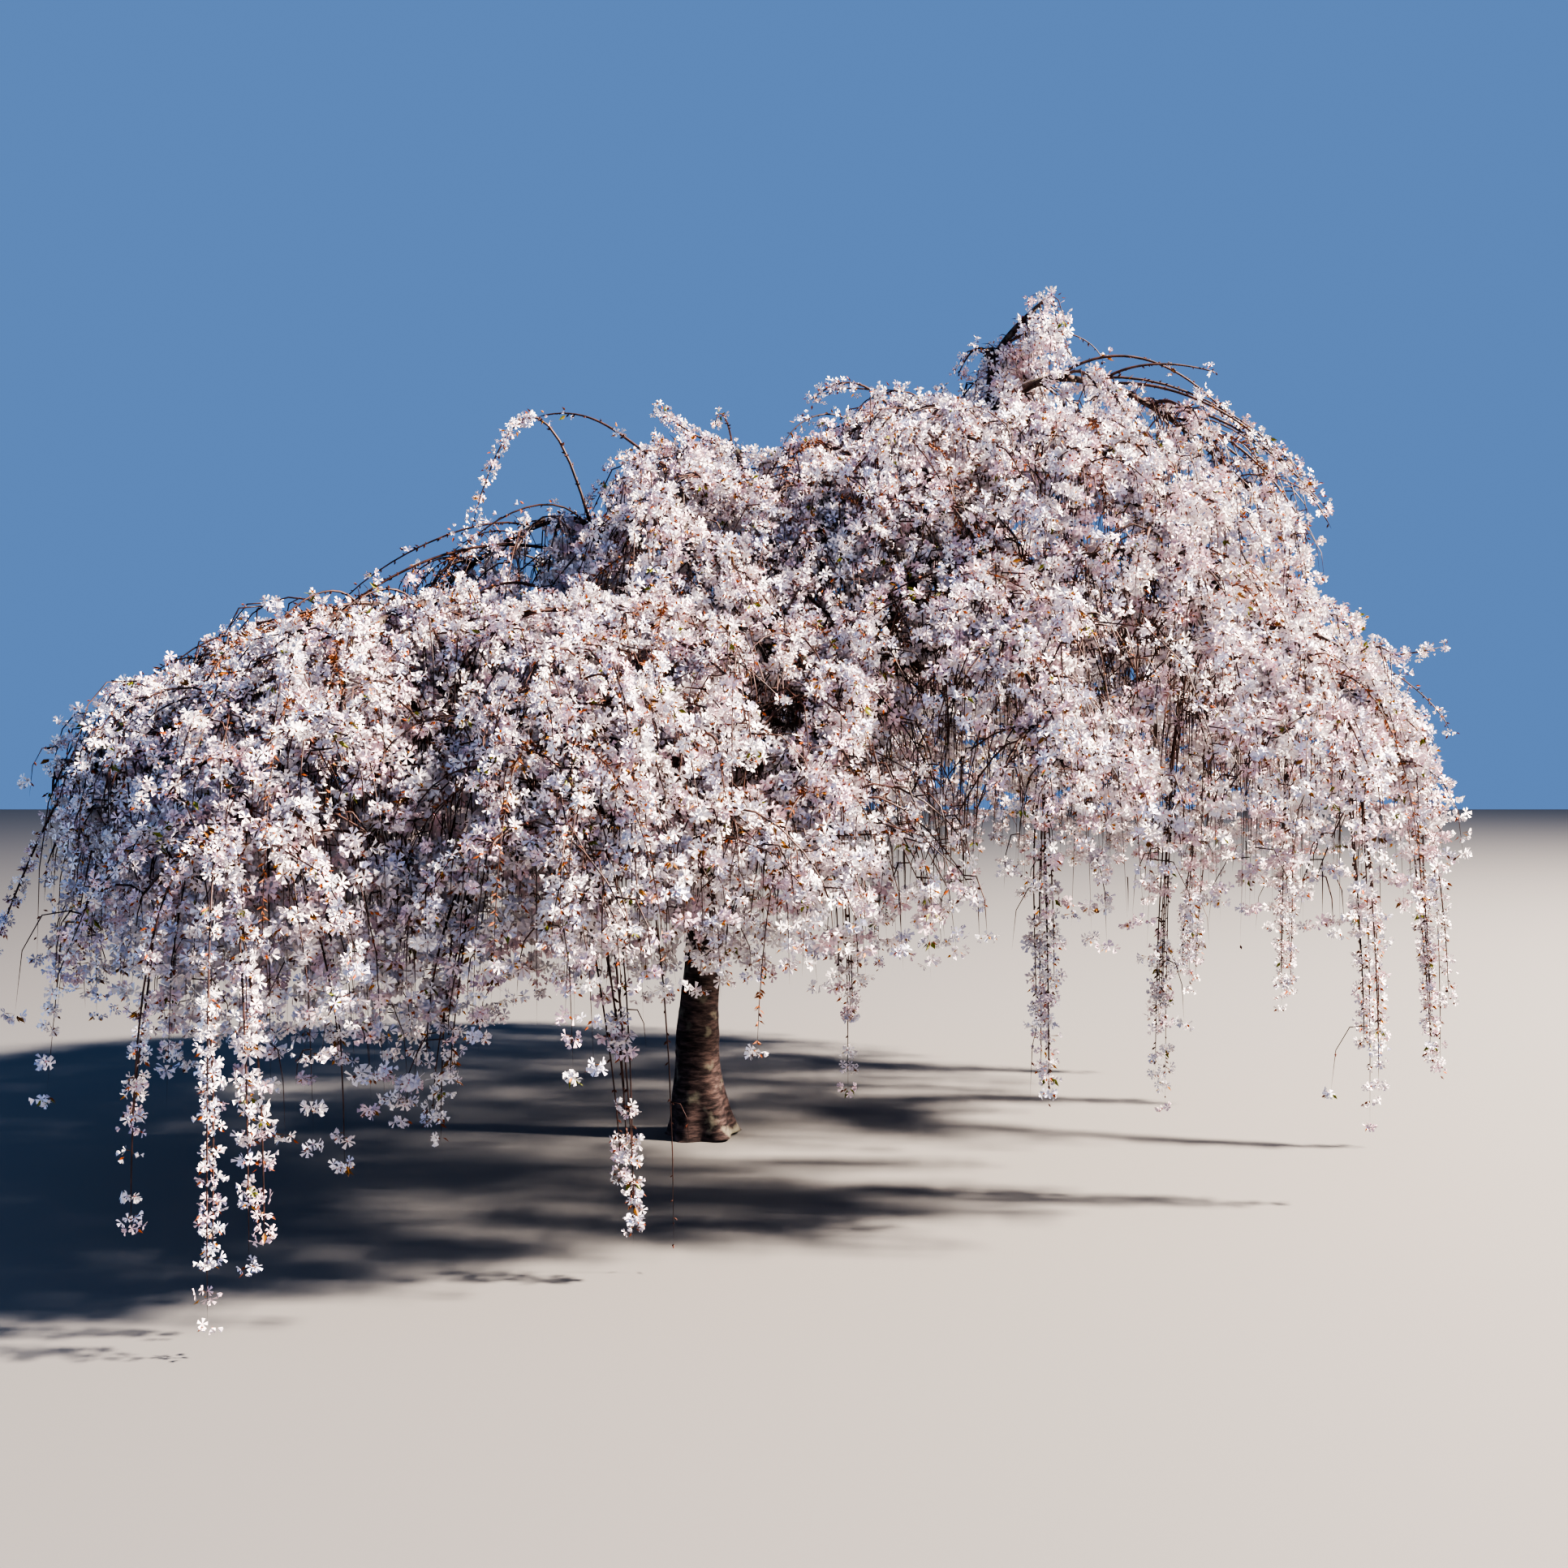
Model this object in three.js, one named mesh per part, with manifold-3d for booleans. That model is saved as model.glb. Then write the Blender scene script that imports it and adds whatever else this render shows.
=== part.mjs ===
// A weeping flowering cherry rooted in open ground, in full white blossom.
// One short leaning trunk forks at chest height. Limbs rise from the fork and arch over, and masses of
// hanging blossom carry on from their tips: a low wide lobe at the front left and a taller one round the
// leader at the right.
// Millimetres, +Z up, +X to the right and +Y away from the viewer. The origin is the middle of the flat cut
// at ground level.

import * as THREE from "three";
import { mergeVertices } from "three/addons/utils/BufferGeometryUtils.js";
import Module from "manifold-3d";

const wasm = await Module();
wasm.setup();

// Clearance where a limb or stem is seated on another, and where a twig only passes a neighbour.
const SEAT_GAP = 0.3;
const PASS_GAP = 4;

// The trunk: its middle line leans a little to the right, and its foot flares into low root swells.
const FORK_HEIGHT = 1250;
const TRUNK_LINE = [
  [8, 0, -80],
  [0, 0, 0],
  [-26, 0, 330],
  [4, 0, 780],
  [62, 0, FORK_HEIGHT],
];
const TRUNK_RADIUS = 88;
const TRUNK_TOP_RADIUS = 70;
const FLARE_RADIUS = 60;
const FLARE_HEIGHT = 170;
const ROOT_SWELLS = 5;
const ROOT_SWELL_SHARE = 0.14;
const TRUNK_SIDES = 15;
const TRUNK_STEPS = 10;
const GROUND_CUT = 600;

// Limbs. from: what it grows on, and at: how far along that one, from 0 to 1. tip: where it ends.
// rise and sway: how far its middle stands over, and to the right of, a straight line.
// radii: at its foot and at its tip.
const LIMBS = [
  {
    name: "bough_right", from: "trunk", at: 0.97, tip: [980, 60, 2120],
    rise: -92, sway: 25, radii: [62, 47],
  },
  { name: "bough_left", from: "trunk", at: 0.93, tip: [-560, -560, 1960], rise: 60, radii: [54, 36] },
  { name: "bough_back", from: "trunk", at: 0.95, tip: [100, 700, 2040], rise: 60, radii: [46, 30] },
  { name: "bough_front", from: "trunk", at: 0.88, tip: [290, -760, 2000], rise: 60, radii: [38, 19] },
  {
    name: "leader", from: "bough_right", at: 1, tip: [1225, 90, 3200],
    rise: -112, sway: 44, radii: [46, 25],
  },
  {
    name: "limb_crown", from: "trunk", at: 0.99, tip: [150, 70, 2800], rise: 30, sway: -50, radii: [40, 16],
  },
  {
    name: "limb_crown_front", from: "limb_crown", at: 0.72, tip: [-30, -300, 2740],
    rise: 30, radii: [24, 14],
  },
  {
    name: "limb_right", from: "bough_right", at: 0.97, tip: [1560, 180, 2460], rise: 60, radii: [34, 20],
  },
  {
    name: "limb_right_front", from: "bough_right", at: 0.84, tip: [1540, -460, 2380],
    rise: 90, radii: [32, 18],
  },
  {
    name: "limb_right_back", from: "bough_right", at: 0.9, tip: [1600, 560, 2320],
    rise: 90, radii: [32, 18],
  },
  {
    name: "limb_middle_front", from: "bough_right", at: 0.55, tip: [860, -540, 2300],
    rise: 70, radii: [31, 17],
  },
  {
    name: "limb_middle", from: "bough_right", at: 0.4, tip: [520, -160, 2740], rise: 60, radii: [28, 15],
  },
  {
    name: "limb_upper_right", from: "leader", at: 0.86, tip: [1560, 40, 3180], rise: 50, radii: [24, 14],
  },
  {
    name: "limb_upper_left", from: "leader", at: 0.78, tip: [940, 110, 3100], rise: 50, radii: [24, 14],
  },
  {
    name: "limb_upper_front", from: "leader", at: 0.6, tip: [1340, -270, 2960], rise: 60, radii: [24, 14],
  },
  {
    name: "limb_upper_back", from: "leader", at: 0.52, tip: [1190, 460, 2860], rise: 60, radii: [24, 14],
  },
  {
    name: "limb_upper_middle", from: "leader", at: 0.69, tip: [1010, -230, 3000],
    rise: 50, radii: [24, 14],
  },
  {
    name: "limb_upper_left_back", from: "leader", at: 0.64, tip: [860, 460, 2920],
    rise: 60, radii: [24, 14],
  },
  {
    name: "limb_back", from: "bough_back", at: 0.97, tip: [460, 1120, 2280], rise: 50, radii: [28, 17],
  },
  {
    name: "limb_back_right", from: "bough_right", at: 0.72, tip: [1300, 980, 2300],
    rise: 100, radii: [31, 17],
  },
  {
    name: "limb_back_middle", from: "bough_back", at: 0.8, tip: [20, 1220, 2240],
    rise: 60, radii: [27, 16],
  },
  {
    name: "limb_back_far_left", from: "bough_back", at: 0.4, tip: [-640, 520, 2200],
    rise: 90, radii: [27, 16],
  },
  {
    name: "limb_back_left", from: "bough_back", at: 0.6, tip: [-380, 780, 2190], rise: 70, radii: [28, 16],
  },
  {
    name: "limb_left_crown", from: "bough_left", at: 0.5, tip: [-400, -400, 2440],
    rise: 40, radii: [26, 14],
  },
  {
    name: "limb_far_left", from: "bough_left", at: 0.96, tip: [-1160, -620, 2170],
    rise: 80, radii: [29, 17],
  },
  {
    name: "limb_left", from: "bough_left", at: 0.8, tip: [-1120, -220, 2200], rise: 80, radii: [28, 16],
  },
  {
    name: "limb_left_middle", from: "bough_left", at: 0.99, tip: [-1080, -900, 2150],
    rise: 70, radii: [28, 16],
  },
  {
    name: "limb_left_back", from: "bough_left", at: 0.62, tip: [-880, 220, 2120], rise: 90, radii: [28, 16],
  },
  {
    name: "limb_left_front", from: "bough_left", at: 0.9, tip: [-860, -1060, 2140],
    rise: 80, radii: [29, 17],
  },
  {
    name: "limb_front_middle", from: "bough_front", at: 0.5, tip: [-10, -920, 2080],
    rise: 70, radii: [26, 15],
  },
  {
    name: "limb_front", from: "bough_left", at: 0.7, tip: [-350, -1060, 2130], rise: 80, radii: [28, 16],
  },
];
const LIMB_SIDES = 6;
const LIMB_STEPS = 4;

// Masses of hanging blossom. limb: the limb whose tip the stem carries on from. end: where the stem ends.
// spread: how far the twigs lean out to each side. skirt: the height that they hang down to.
// twigs: how many hang from the stem. tips: where its longest hanging twigs end, if it has any.
// wands: long arching shoots, each with the place on the stem where it starts, its tip and its rise.
const MASSES = [
  {
    name: "top", limb: "leader", end: [1445, 95, 3530], spread: 200, skirt: 3230, twigs: 6,
    wands: [{ at: 0.15, tip: [1070, 60, 3190], rise: 90 }],
  },
  {
    name: "right", limb: "limb_right", end: [2920, 160, 1760], spread: 560, skirt: 1060, twigs: 11,
    tips: [[3000, -260, 290], [2600, 560, 420]],
    wands: [{ at: 0.72, tip: [3140, 80, 2060], rise: -40 }, { at: 0.6, tip: [2800, 120, 2180], rise: 60 }],
  },
  {
    name: "right_front", limb: "limb_right_front", end: [2360, -1420, 1540],
    spread: 540, skirt: 920, twigs: 10,
    tips: [[1720, -980, 320], [2420, -1100, 290]],
  },
  {
    name: "right_back", limb: "limb_right_back", end: [2620, 1220, 1520],
    spread: 560, skirt: 920, twigs: 10,
    tips: [[2360, 1300, 420]],
  },
  {
    name: "middle_front", limb: "limb_middle_front", end: [1220, -1760, 1560],
    spread: 500, skirt: 980, twigs: 10,
    tips: [[1230, -1400, 420]],
  },
  { name: "middle", limb: "limb_middle", end: [470, -1060, 2160], spread: 380, skirt: 1300, twigs: 8 },
  {
    name: "upper_right", limb: "limb_upper_right", end: [2420, -140, 2520],
    spread: 400, skirt: 2060, twigs: 9,
    wands: [{ at: 0.02, tip: [2570, 40, 2740], rise: 150 }, { at: 0.3, tip: [2580, -160, 2580], rise: 120 }],
  },
  {
    name: "upper_left", limb: "limb_upper_left", end: [380, 200, 2720],
    spread: 380, skirt: 2160, twigs: 9,
    wands: [{ at: 0.2, tip: [450, 60, 3090], rise: 100 }],
  },
  {
    name: "upper_front", limb: "limb_upper_front", end: [1660, -1060, 2380],
    spread: 380, skirt: 1900, twigs: 8,
  },
  {
    name: "upper_middle", limb: "limb_upper_middle", end: [840, -1000, 2420],
    spread: 400, skirt: 1900, twigs: 8,
  },
  {
    name: "upper_left_back", limb: "limb_upper_left_back", end: [440, 1060, 2400],
    spread: 420, skirt: 1850,
    twigs: 7,
  },
  {
    name: "upper_back", limb: "limb_upper_back", end: [1260, 1280, 2320],
    spread: 440, skirt: 1760, twigs: 8,
  },
  {
    name: "back_right", limb: "limb_back_right", end: [1880, 1980, 1460],
    spread: 560, skirt: 950, twigs: 9,
  },
  {
    name: "back_middle", limb: "limb_back_middle", end: [-80, 2420, 1400],
    spread: 540, skirt: 880, twigs: 9,
  },
  {
    name: "back_far_left", limb: "limb_back_far_left", end: [-1600, 1600, 1380],
    spread: 560, skirt: 850, twigs: 9,
  },
  {
    name: "back", limb: "limb_back", end: [860, 2380, 1440], spread: 560, skirt: 900, twigs: 10,
    tips: [[860, 2140, 400]],
  },
  {
    name: "back_left", limb: "limb_back_left", end: [-940, 2040, 1400],
    spread: 560, skirt: 850, twigs: 10,
    tips: [[-760, 1900, 380]],
  },
  {
    name: "crown", limb: "limb_crown", end: [-480, 560, 2380], spread: 440, skirt: 1700, twigs: 9,
    wands: [{ at: 0.1, tip: [-200, 0, 3060], rise: -30 }],
  },
  {
    name: "crown_front", limb: "limb_crown_front", end: [20, -1160, 2100],
    spread: 400, skirt: 1350, twigs: 9,
  },
  {
    name: "left_crown", limb: "limb_left_crown", end: [-1100, -440, 2160],
    spread: 380, skirt: 1700, twigs: 8,
    wands: [{ at: 0.05, tip: [-860, -620, 2440], rise: 450 }],
  },
  {
    name: "far_left", limb: "limb_far_left", end: [-2280, -880, 1540],
    spread: 460, skirt: 830, twigs: 10,
    tips: [[-2180, -900, 640]],
    wands: [{ at: 0.97, tip: [-2540, -920, 900], rise: 40 }],
  },
  {
    name: "left_middle", limb: "limb_left_middle", end: [-1860, -1600, 1420],
    spread: 460, skirt: 720, twigs: 10,
  },
  { name: "left", limb: "limb_left", end: [-2340, 40, 1460], spread: 540, skirt: 850, twigs: 9 },
  {
    name: "left_back", limb: "limb_left_back", end: [-2080, 920, 1420],
    spread: 560, skirt: 850, twigs: 10,
    tips: [[-1900, 900, 420]],
  },
  {
    name: "left_front", limb: "limb_left_front", end: [-1280, -2220, 1340],
    spread: 520, skirt: 500, twigs: 11,
    tips: [[-1190, -2600, 90], [-1470, -2400, 250], [-1130, -2440, 190], [-940, -2160, 360]],
  },
  {
    name: "front", limb: "limb_front", end: [-420, -2260, 1300], spread: 500, skirt: 680, twigs: 11,
    tips: [[-120, -1920, 90], [0, -1880, 60], [-680, -2060, 430]],
  },
  {
    name: "front_right", limb: "bough_front", end: [500, -1960, 1260],
    spread: 460, skirt: 860, twigs: 10,
    tips: [[560, -1300, 400]],
  },
  {
    name: "front_middle", limb: "limb_front_middle", end: [30, -2080, 1300],
    spread: 420, skirt: 820, twigs: 9,
  },
];

// Stems and twigs. Flower clusters wrap them, so each is a chain of lumps with thin necks between, and a
// lump's own size is a share of the usual one. Pairs are the least and the most of what varies.
const LUMP_SHARE = [0.75, 1.25];
const NECK_LUMP_SHARE = 0.15;
const STEM_SIDES = 5;
const STEM_BARE_SHARE = 0.12;
const STEM_BARE_RINGS = 2;
const STEM_REACH_SHARE = 0.35;
const STEM_LUMP_RADIUS = 74;
const STEM_LUMP_SPACING = 250;
const TWIG_SIDES = 3;
const TWIG_RADIUS = 7;
const TWIG_BARE_RINGS = 1;
const TWIG_LUMP_RADIUS = 58;
const THIN_LUMP_RADIUS = 46.4;
const WAND_LUMP_RADIUS = 30;
const TWIG_LUMP_SPACING = 460;
const LOWEST_TIP = 30;

// How a twig hangs: its shoulder stands over the stem, most of the way out, and its elbow is partly down.
const SHOULDER_SHARE = 0.62;
const SHOULDER_RISE = 40;
const ELBOW_SHARE = 0.28;

// How far twigs lean aside and run on past their start, as shares of the spread of the mass, with
// SPREAD_AT_FOOT the part of that spread next to the limb, and how their tips vary in height.
const LEAN_SHARE = [0.3, 1];
const ONWARD_SHARE = [-0.05, 0.35];
const SPREAD_AT_FOOT = 0.5;
const SKIRT_RAGGEDNESS = 300;
const SHORTEST_DROP = 200;

// The longest twigs leave the stem at one of these places, whichever is nearest in plan to the tip.
const FIRST_LEAVING_PLACE = 0.2;
const LEAVING_PLACES = 17;

// A side twig: where along the hanging one it starts and ends, and how far it stands off at its end.
const SIDE_TWIG_START = [0.3, 0.55];
const SIDE_TWIG_END = [0.8, 0.95];
const SIDE_TWIG_REACH = 150;
const SIDE_TWIG_CHANCE = 0.2;

// Random seeds: each mass has a run of its own, with the twigs, the longest twigs and the wands in it.
const MASS_SEEDS = 1000;
const FIRST_TIP_SEED = 500;
const FIRST_WAND_SEED = 600;

const BARK = { color: 0x5a4a43, roughness: 0.9, metalness: 0 };
const BLOSSOM = { color: 0xf6eff0, roughness: 0.75, metalness: 0 };

const UP = new THREE.Vector3(0, 0, 1);
const lerp = THREE.MathUtils.lerp;
const point = (place) => new THREE.Vector3(...place);

// Even random numbers from 0 to 1, the same on each run: each is the last one times a fixed factor,
// less whole turns of a prime.
function seeded(seed) {
  let state = seed * 7919 + 17;
  return () => {
    state = (state * 16807) % 2147483647;
    return state / 2147483647;
  };
}

// A closed geometry as a solid, with its shared vertices merged.
function solidOf(geometry) {
  const bare = new THREE.BufferGeometry();
  bare.setAttribute("position", geometry.toNonIndexed().getAttribute("position"));
  const merged = mergeVertices(bare, 1e-3);
  return new wasm.Manifold(
    new wasm.Mesh({
      numProp: 3,
      vertProperties: new Float32Array(merged.attributes.position.array),
      triVerts: new Uint32Array(merged.index.array),
    }),
  );
}

// The largest body that a cut leaves: loose scraps are dropped.
function largestBody(solid) {
  return solid.decompose().sort((a, b) => b.volume() - a.volume())[0];
}

function meshOf(name, solid, look) {
  const { vertProperties, triVerts } = solid.getMesh();
  const geometry = new THREE.BufferGeometry();
  geometry.setAttribute("position", new THREE.BufferAttribute(vertProperties, 3));
  geometry.setIndex(new THREE.BufferAttribute(triVerts, 1));
  geometry.computeVertexNormals();
  const mesh = new THREE.Mesh(geometry, new THREE.MeshStandardMaterial(look));
  mesh.name = name;
  return mesh;
}

// A closed rod round a curve. radiusAt(t, angle) is its radius at a share t of the curve, and where the last
// one is 0 the rod ends in a point. margin makes it that much larger all over.
function bentRod(curve, radiusAt, sides, steps, { spin = 0, margin = 0 } = {}) {
  const pointed = radiusAt(1, 0) === 0;
  const rod = new THREE.CylinderGeometry(pointed ? 0 : 1, 1, 1, sides, steps);
  const frames = curve.computeFrenetFrames(steps, false);
  const place = rod.getAttribute("position");
  for (let i = 0; i < place.count; i += 1) {
    const step = Math.round((place.getY(i) + 0.5) * steps);
    const angle = Math.atan2(place.getZ(i), place.getX(i));
    const onAxis = Math.hypot(place.getX(i), place.getZ(i)) < 1e-6;
    const radius = onAxis ? 0 : radiusAt(step / steps, angle) + margin;
    const past = step === 0 ? -margin : step === steps ? margin : 0;
    const at = curve.getPointAt(step / steps);
    at.addScaledVector(frames.tangents[step], past);
    at.addScaledVector(frames.binormals[step], Math.cos(angle + spin) * radius);
    at.addScaledVector(frames.normals[step], Math.sin(angle + spin) * radius);
    place.setXYZ(i, at.x, at.y, at.z);
  }
  return solidOf(rod);
}

// Capsules round what is already built, by which later twigs keep their distance.
const taken = [];

function capsulesOf(owner, curve, radiusAt, steps) {
  return Array.from({ length: steps }, (_, i) => ({
    owner,
    a: curve.getPointAt(i / steps),
    b: curve.getPointAt((i + 1) / steps),
    radius: Math.max(radiusAt(i / steps), radiusAt((i + 1) / steps)),
  }));
}

// The shortest distance between two segments.
function segmentDistance(a0, a1, b0, b1) {
  const u = a1.clone().sub(a0);
  const v = b1.clone().sub(b0);
  const w = a0.clone().sub(b0);
  const [uu, uv, vv, uw, vw] = [u.dot(u), u.dot(v), v.dot(v), u.dot(w), v.dot(w)];
  const cross = uu * vv - uv * uv;
  let s = cross > 1e-9 ? THREE.MathUtils.clamp((uv * vw - vv * uw) / cross, 0, 1) : 0;
  let t = (uv * s + vw) / vv;
  if (t < 0 || t > 1) {
    t = THREE.MathUtils.clamp(t, 0, 1);
    s = THREE.MathUtils.clamp((uv * t - uw) / uu, 0, 1);
  }
  return w.addScaledVector(u, s).addScaledVector(v, -t).length();
}

// Whether capsules keep clear of everything that another owner has taken.
function isClear(capsules) {
  return capsules.every((one) =>
    taken.every(
      (other) =>
        other.owner === one.owner ||
        segmentDistance(one.a, one.b, other.a, other.b) > one.radius + other.radius + PASS_GAP,
    ),
  );
}

// Everything below the ground, which leaves the trunk its flat foot.
const ground = new THREE.BoxGeometry(GROUND_CUT, GROUND_CUT, GROUND_CUT).translate(0, 0, -GROUND_CUT / 2);

const tree = new THREE.Group();
const limbs = {};
const cutters = [solidOf(ground)];

// Trunk and limbs are seated on each other: each is cut clear of those already made.
function addWood(name, curve, radiusAt, sides, steps) {
  const whole = bentRod(curve, radiusAt, sides, steps);
  const body = largestBody(cutters.reduce((left, cutter) => left.subtract(cutter), whole));
  cutters.push(bentRod(curve, radiusAt, sides, steps, { margin: SEAT_GAP }));
  limbs[name] = { curve, tipRadius: radiusAt(1, 0) };
  taken.push(...capsulesOf(name, curve, radiusAt, steps));
  tree.add(meshOf(name, body, BARK));
}

// The foot of the trunk widens into its root swells.
function trunkRadius(t, angle = 0) {
  const height = Math.max(0, trunkCurve.getPointAt(t).z);
  const flare = Math.exp(-height / FLARE_HEIGHT);
  const shaft = lerp(TRUNK_RADIUS, TRUNK_TOP_RADIUS, t) + FLARE_RADIUS * flare;
  return shaft * (1 + ROOT_SWELL_SHARE * flare * Math.cos(ROOT_SWELLS * angle));
}

function limbCurve(row) {
  const parent = limbs[row.from].curve;
  const foot = parent.getPointAt(row.at);
  if (row.at === 1) foot.addScaledVector(parent.getTangentAt(1), SEAT_GAP);
  const tip = point(row.tip);
  const bend = foot.clone().lerp(tip, 0.5);
  bend.z += row.rise * 2;
  bend.x += (row.sway ?? 0) * 2;
  return new THREE.QuadraticBezierCurve3(foot, bend, tip);
}

// The stem of a mass starts 0.3 mm beyond its limb's tip, in the limb's own direction.
function stemCurve(row) {
  const limb = limbs[row.limb];
  const leave = limb.curve.getTangentAt(1);
  const foot = limb.curve.getPointAt(1).addScaledVector(leave, SEAT_GAP);
  const end = point(row.end);
  const reach = foot.distanceTo(end) * STEM_REACH_SHARE;
  const droop = end.clone().sub(foot).setZ(0).normalize().setZ(row.end[2] > foot.z ? 1 : -1).normalize();
  const before = end.clone().addScaledVector(droop, -reach);
  return new THREE.CubicBezierCurve3(foot, foot.clone().addScaledVector(leave, reach), before, end);
}

// A twig leaves its stem outward and level, bends over a shoulder, and hangs down to its tip.
function hangingTwig(start, tip) {
  const shoulder = start.clone().lerp(tip, SHOULDER_SHARE).setZ(start.z + SHOULDER_RISE);
  const elbow = tip.clone().setZ(lerp(start.z, tip.z, ELBOW_SHARE));
  return new THREE.CubicBezierCurve3(start, shoulder, elbow, tip);
}

// An arching shoot.
function wandCurve(start, wand) {
  const tip = point(wand.tip);
  const crest = start.clone().lerp(tip, 0.5).addScaledVector(UP, wand.rise * 2);
  return new THREE.QuadraticBezierCurve3(start, crest, tip);
}

// The radii of a chain of flower lumps, ring by ring to the point at its end: bare rings come first, then
// the neck and the belly of each lump in turn.
function chainRadii(lumps, lumpRadius, bareRadius, bareRings, random) {
  const rings = [];
  for (let ring = 0; ring < bareRings + 2 * lumps; ring += 1) {
    const share = lerp(...LUMP_SHARE, random());
    const belly = (ring - bareRings) % 2 === 1;
    if (ring < bareRings) rings.push(bareRadius);
    else rings.push(belly ? lumpRadius * share : bareRadius + lumpRadius * NECK_LUMP_SHARE);
  }
  return [...rings, 0];
}

// A twig, which is left out where it would reach the ground or another mass or limb.
function growTwig(mass, curve, lumpRadius, random) {
  const lumps = Math.max(1, Math.round(curve.getLength() / TWIG_LUMP_SPACING));
  const rings = chainRadii(lumps, lumpRadius, TWIG_RADIUS, TWIG_BARE_RINGS, random);
  const steps = rings.length - 1;
  const radiusAt = (t) => rings[Math.round(t * steps)];
  const capsules = capsulesOf(mass.row.name, curve, radiusAt, steps);
  const lowest = Math.min(...capsules.map((one) => one.b.z));
  if (lowest < LOWEST_TIP || !isClear(capsules)) return false;
  mass.parts.push(bentRod(curve, radiusAt, TWIG_SIDES, steps, { spin: random() * Math.PI }));
  mass.capsules.push(...capsules);
  return true;
}

// A side twig leaves a hanging one, bows out from it, and hangs beside it.
function growSideTwig(mass, curve, random) {
  const start = curve.getPointAt(lerp(...SIDE_TWIG_START, random()));
  const angle = random() * 2 * Math.PI;
  const tip = curve.getPointAt(lerp(...SIDE_TWIG_END, random()));
  tip.x += Math.cos(angle) * SIDE_TWIG_REACH;
  tip.y += Math.sin(angle) * SIDE_TWIG_REACH;
  growTwig(mass, hangingTwig(start, tip), THIN_LUMP_RADIUS, random);
}

// The stem of a mass, laid before any twig so that twigs of other masses keep off it.
function growStem(row, index) {
  const firstSeed = MASS_SEEDS * (index + 1);
  const curve = stemCurve(row);
  const lumps = Math.round((curve.getLength() * (1 - STEM_BARE_SHARE)) / STEM_LUMP_SPACING);
  const footRadius = limbs[row.limb].tipRadius;
  const rings = chainRadii(lumps, STEM_LUMP_RADIUS, footRadius, STEM_BARE_RINGS, seeded(firstSeed));
  const steps = rings.length - 1;
  const radiusAt = (t) => rings[Math.round(t * steps)];
  taken.push(...capsulesOf(row.name, curve, radiusAt, steps));
  return { row, firstSeed, curve, parts: [bentRod(curve, radiusAt, STEM_SIDES, steps)], capsules: [] };
}

// The longest hanging twigs of a mass, each to a tip of its own.
function growLongTwigs(mass) {
  (mass.row.tips ?? []).forEach((place, i) => {
    const tip = point(place);
    const apart = (start) => Math.hypot(start.x - tip.x, start.y - tip.y);
    const starts = Array.from({ length: LEAVING_PLACES }, (_, k) =>
      mass.curve.getPointAt(lerp(FIRST_LEAVING_PLACE, 1, k / (LEAVING_PLACES - 1))),
    );
    const start = starts.sort((a, b) => apart(a) - apart(b))[0];
    growTwig(mass, hangingTwig(start, tip), THIN_LUMP_RADIUS, seeded(mass.firstSeed + FIRST_TIP_SEED + i));
  });
}

// The arching shoots of a mass.
function growWands(mass) {
  (mass.row.wands ?? []).forEach((wand, i) => {
    const curve = wandCurve(mass.curve.getPointAt(wand.at), wand);
    growTwig(mass, curve, WAND_LUMP_RADIUS, seeded(mass.firstSeed + FIRST_WAND_SEED + i));
  });
}

// The curtain of a mass: twigs hang to either side of its stem in turn, some with a side twig.
function growCurtain(mass) {
  const { spread, skirt, twigs } = mass.row;
  for (let i = 0; i < twigs; i += 1) {
    const random = seeded(mass.firstSeed + i + 1);
    const t = lerp(STEM_BARE_SHARE, 1, (i + 0.5) / twigs);
    const start = mass.curve.getPointAt(t);
    const flow = mass.curve.getTangentAt(t).setZ(0).normalize();
    const side = flow.clone().cross(UP).multiplyScalar(i % 2 ? 1 : -1);
    const tip = start.clone();
    tip.addScaledVector(side, spread * lerp(SPREAD_AT_FOOT, 1, t) * lerp(...LEAN_SHARE, random()));
    tip.addScaledVector(flow, spread * lerp(...ONWARD_SHARE, random()));
    tip.z = Math.min(start.z - SHORTEST_DROP, skirt + SKIRT_RAGGEDNESS * random());
    const twig = hangingTwig(start, tip);
    const grown = growTwig(mass, twig, TWIG_LUMP_RADIUS, random);
    if (grown && random() < SIDE_TWIG_CHANCE) growSideTwig(mass, twig, random);
  }
}

// One mass of blossom: its twigs, sunk into its stem, make one solid.
function growMass(mass) {
  growLongTwigs(mass);
  growWands(mass);
  growCurtain(mass);
  taken.push(...mass.capsules);
  const solid = mass.parts.reduce((joined, part) => joined.add(part));
  tree.add(meshOf(`blossom_${mass.row.name}`, largestBody(solid), BLOSSOM));
}

const trunkCurve = new THREE.CatmullRomCurve3(TRUNK_LINE.map(point));
addWood("trunk", trunkCurve, trunkRadius, TRUNK_SIDES, TRUNK_STEPS);
for (const row of LIMBS) {
  addWood(row.name, limbCurve(row), (t) => lerp(...row.radii, t), LIMB_SIDES, LIMB_STEPS);
}
const masses = MASSES.map(growStem);
masses.forEach(growMass);

export default tree;
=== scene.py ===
# A weeping flowering cherry in full white blossom, rooted in open ground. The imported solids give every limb
# and every mass of blossom its place, and each is dressed here. Metres, +Z up, +X to the right and +Y away
# from the viewer.

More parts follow.
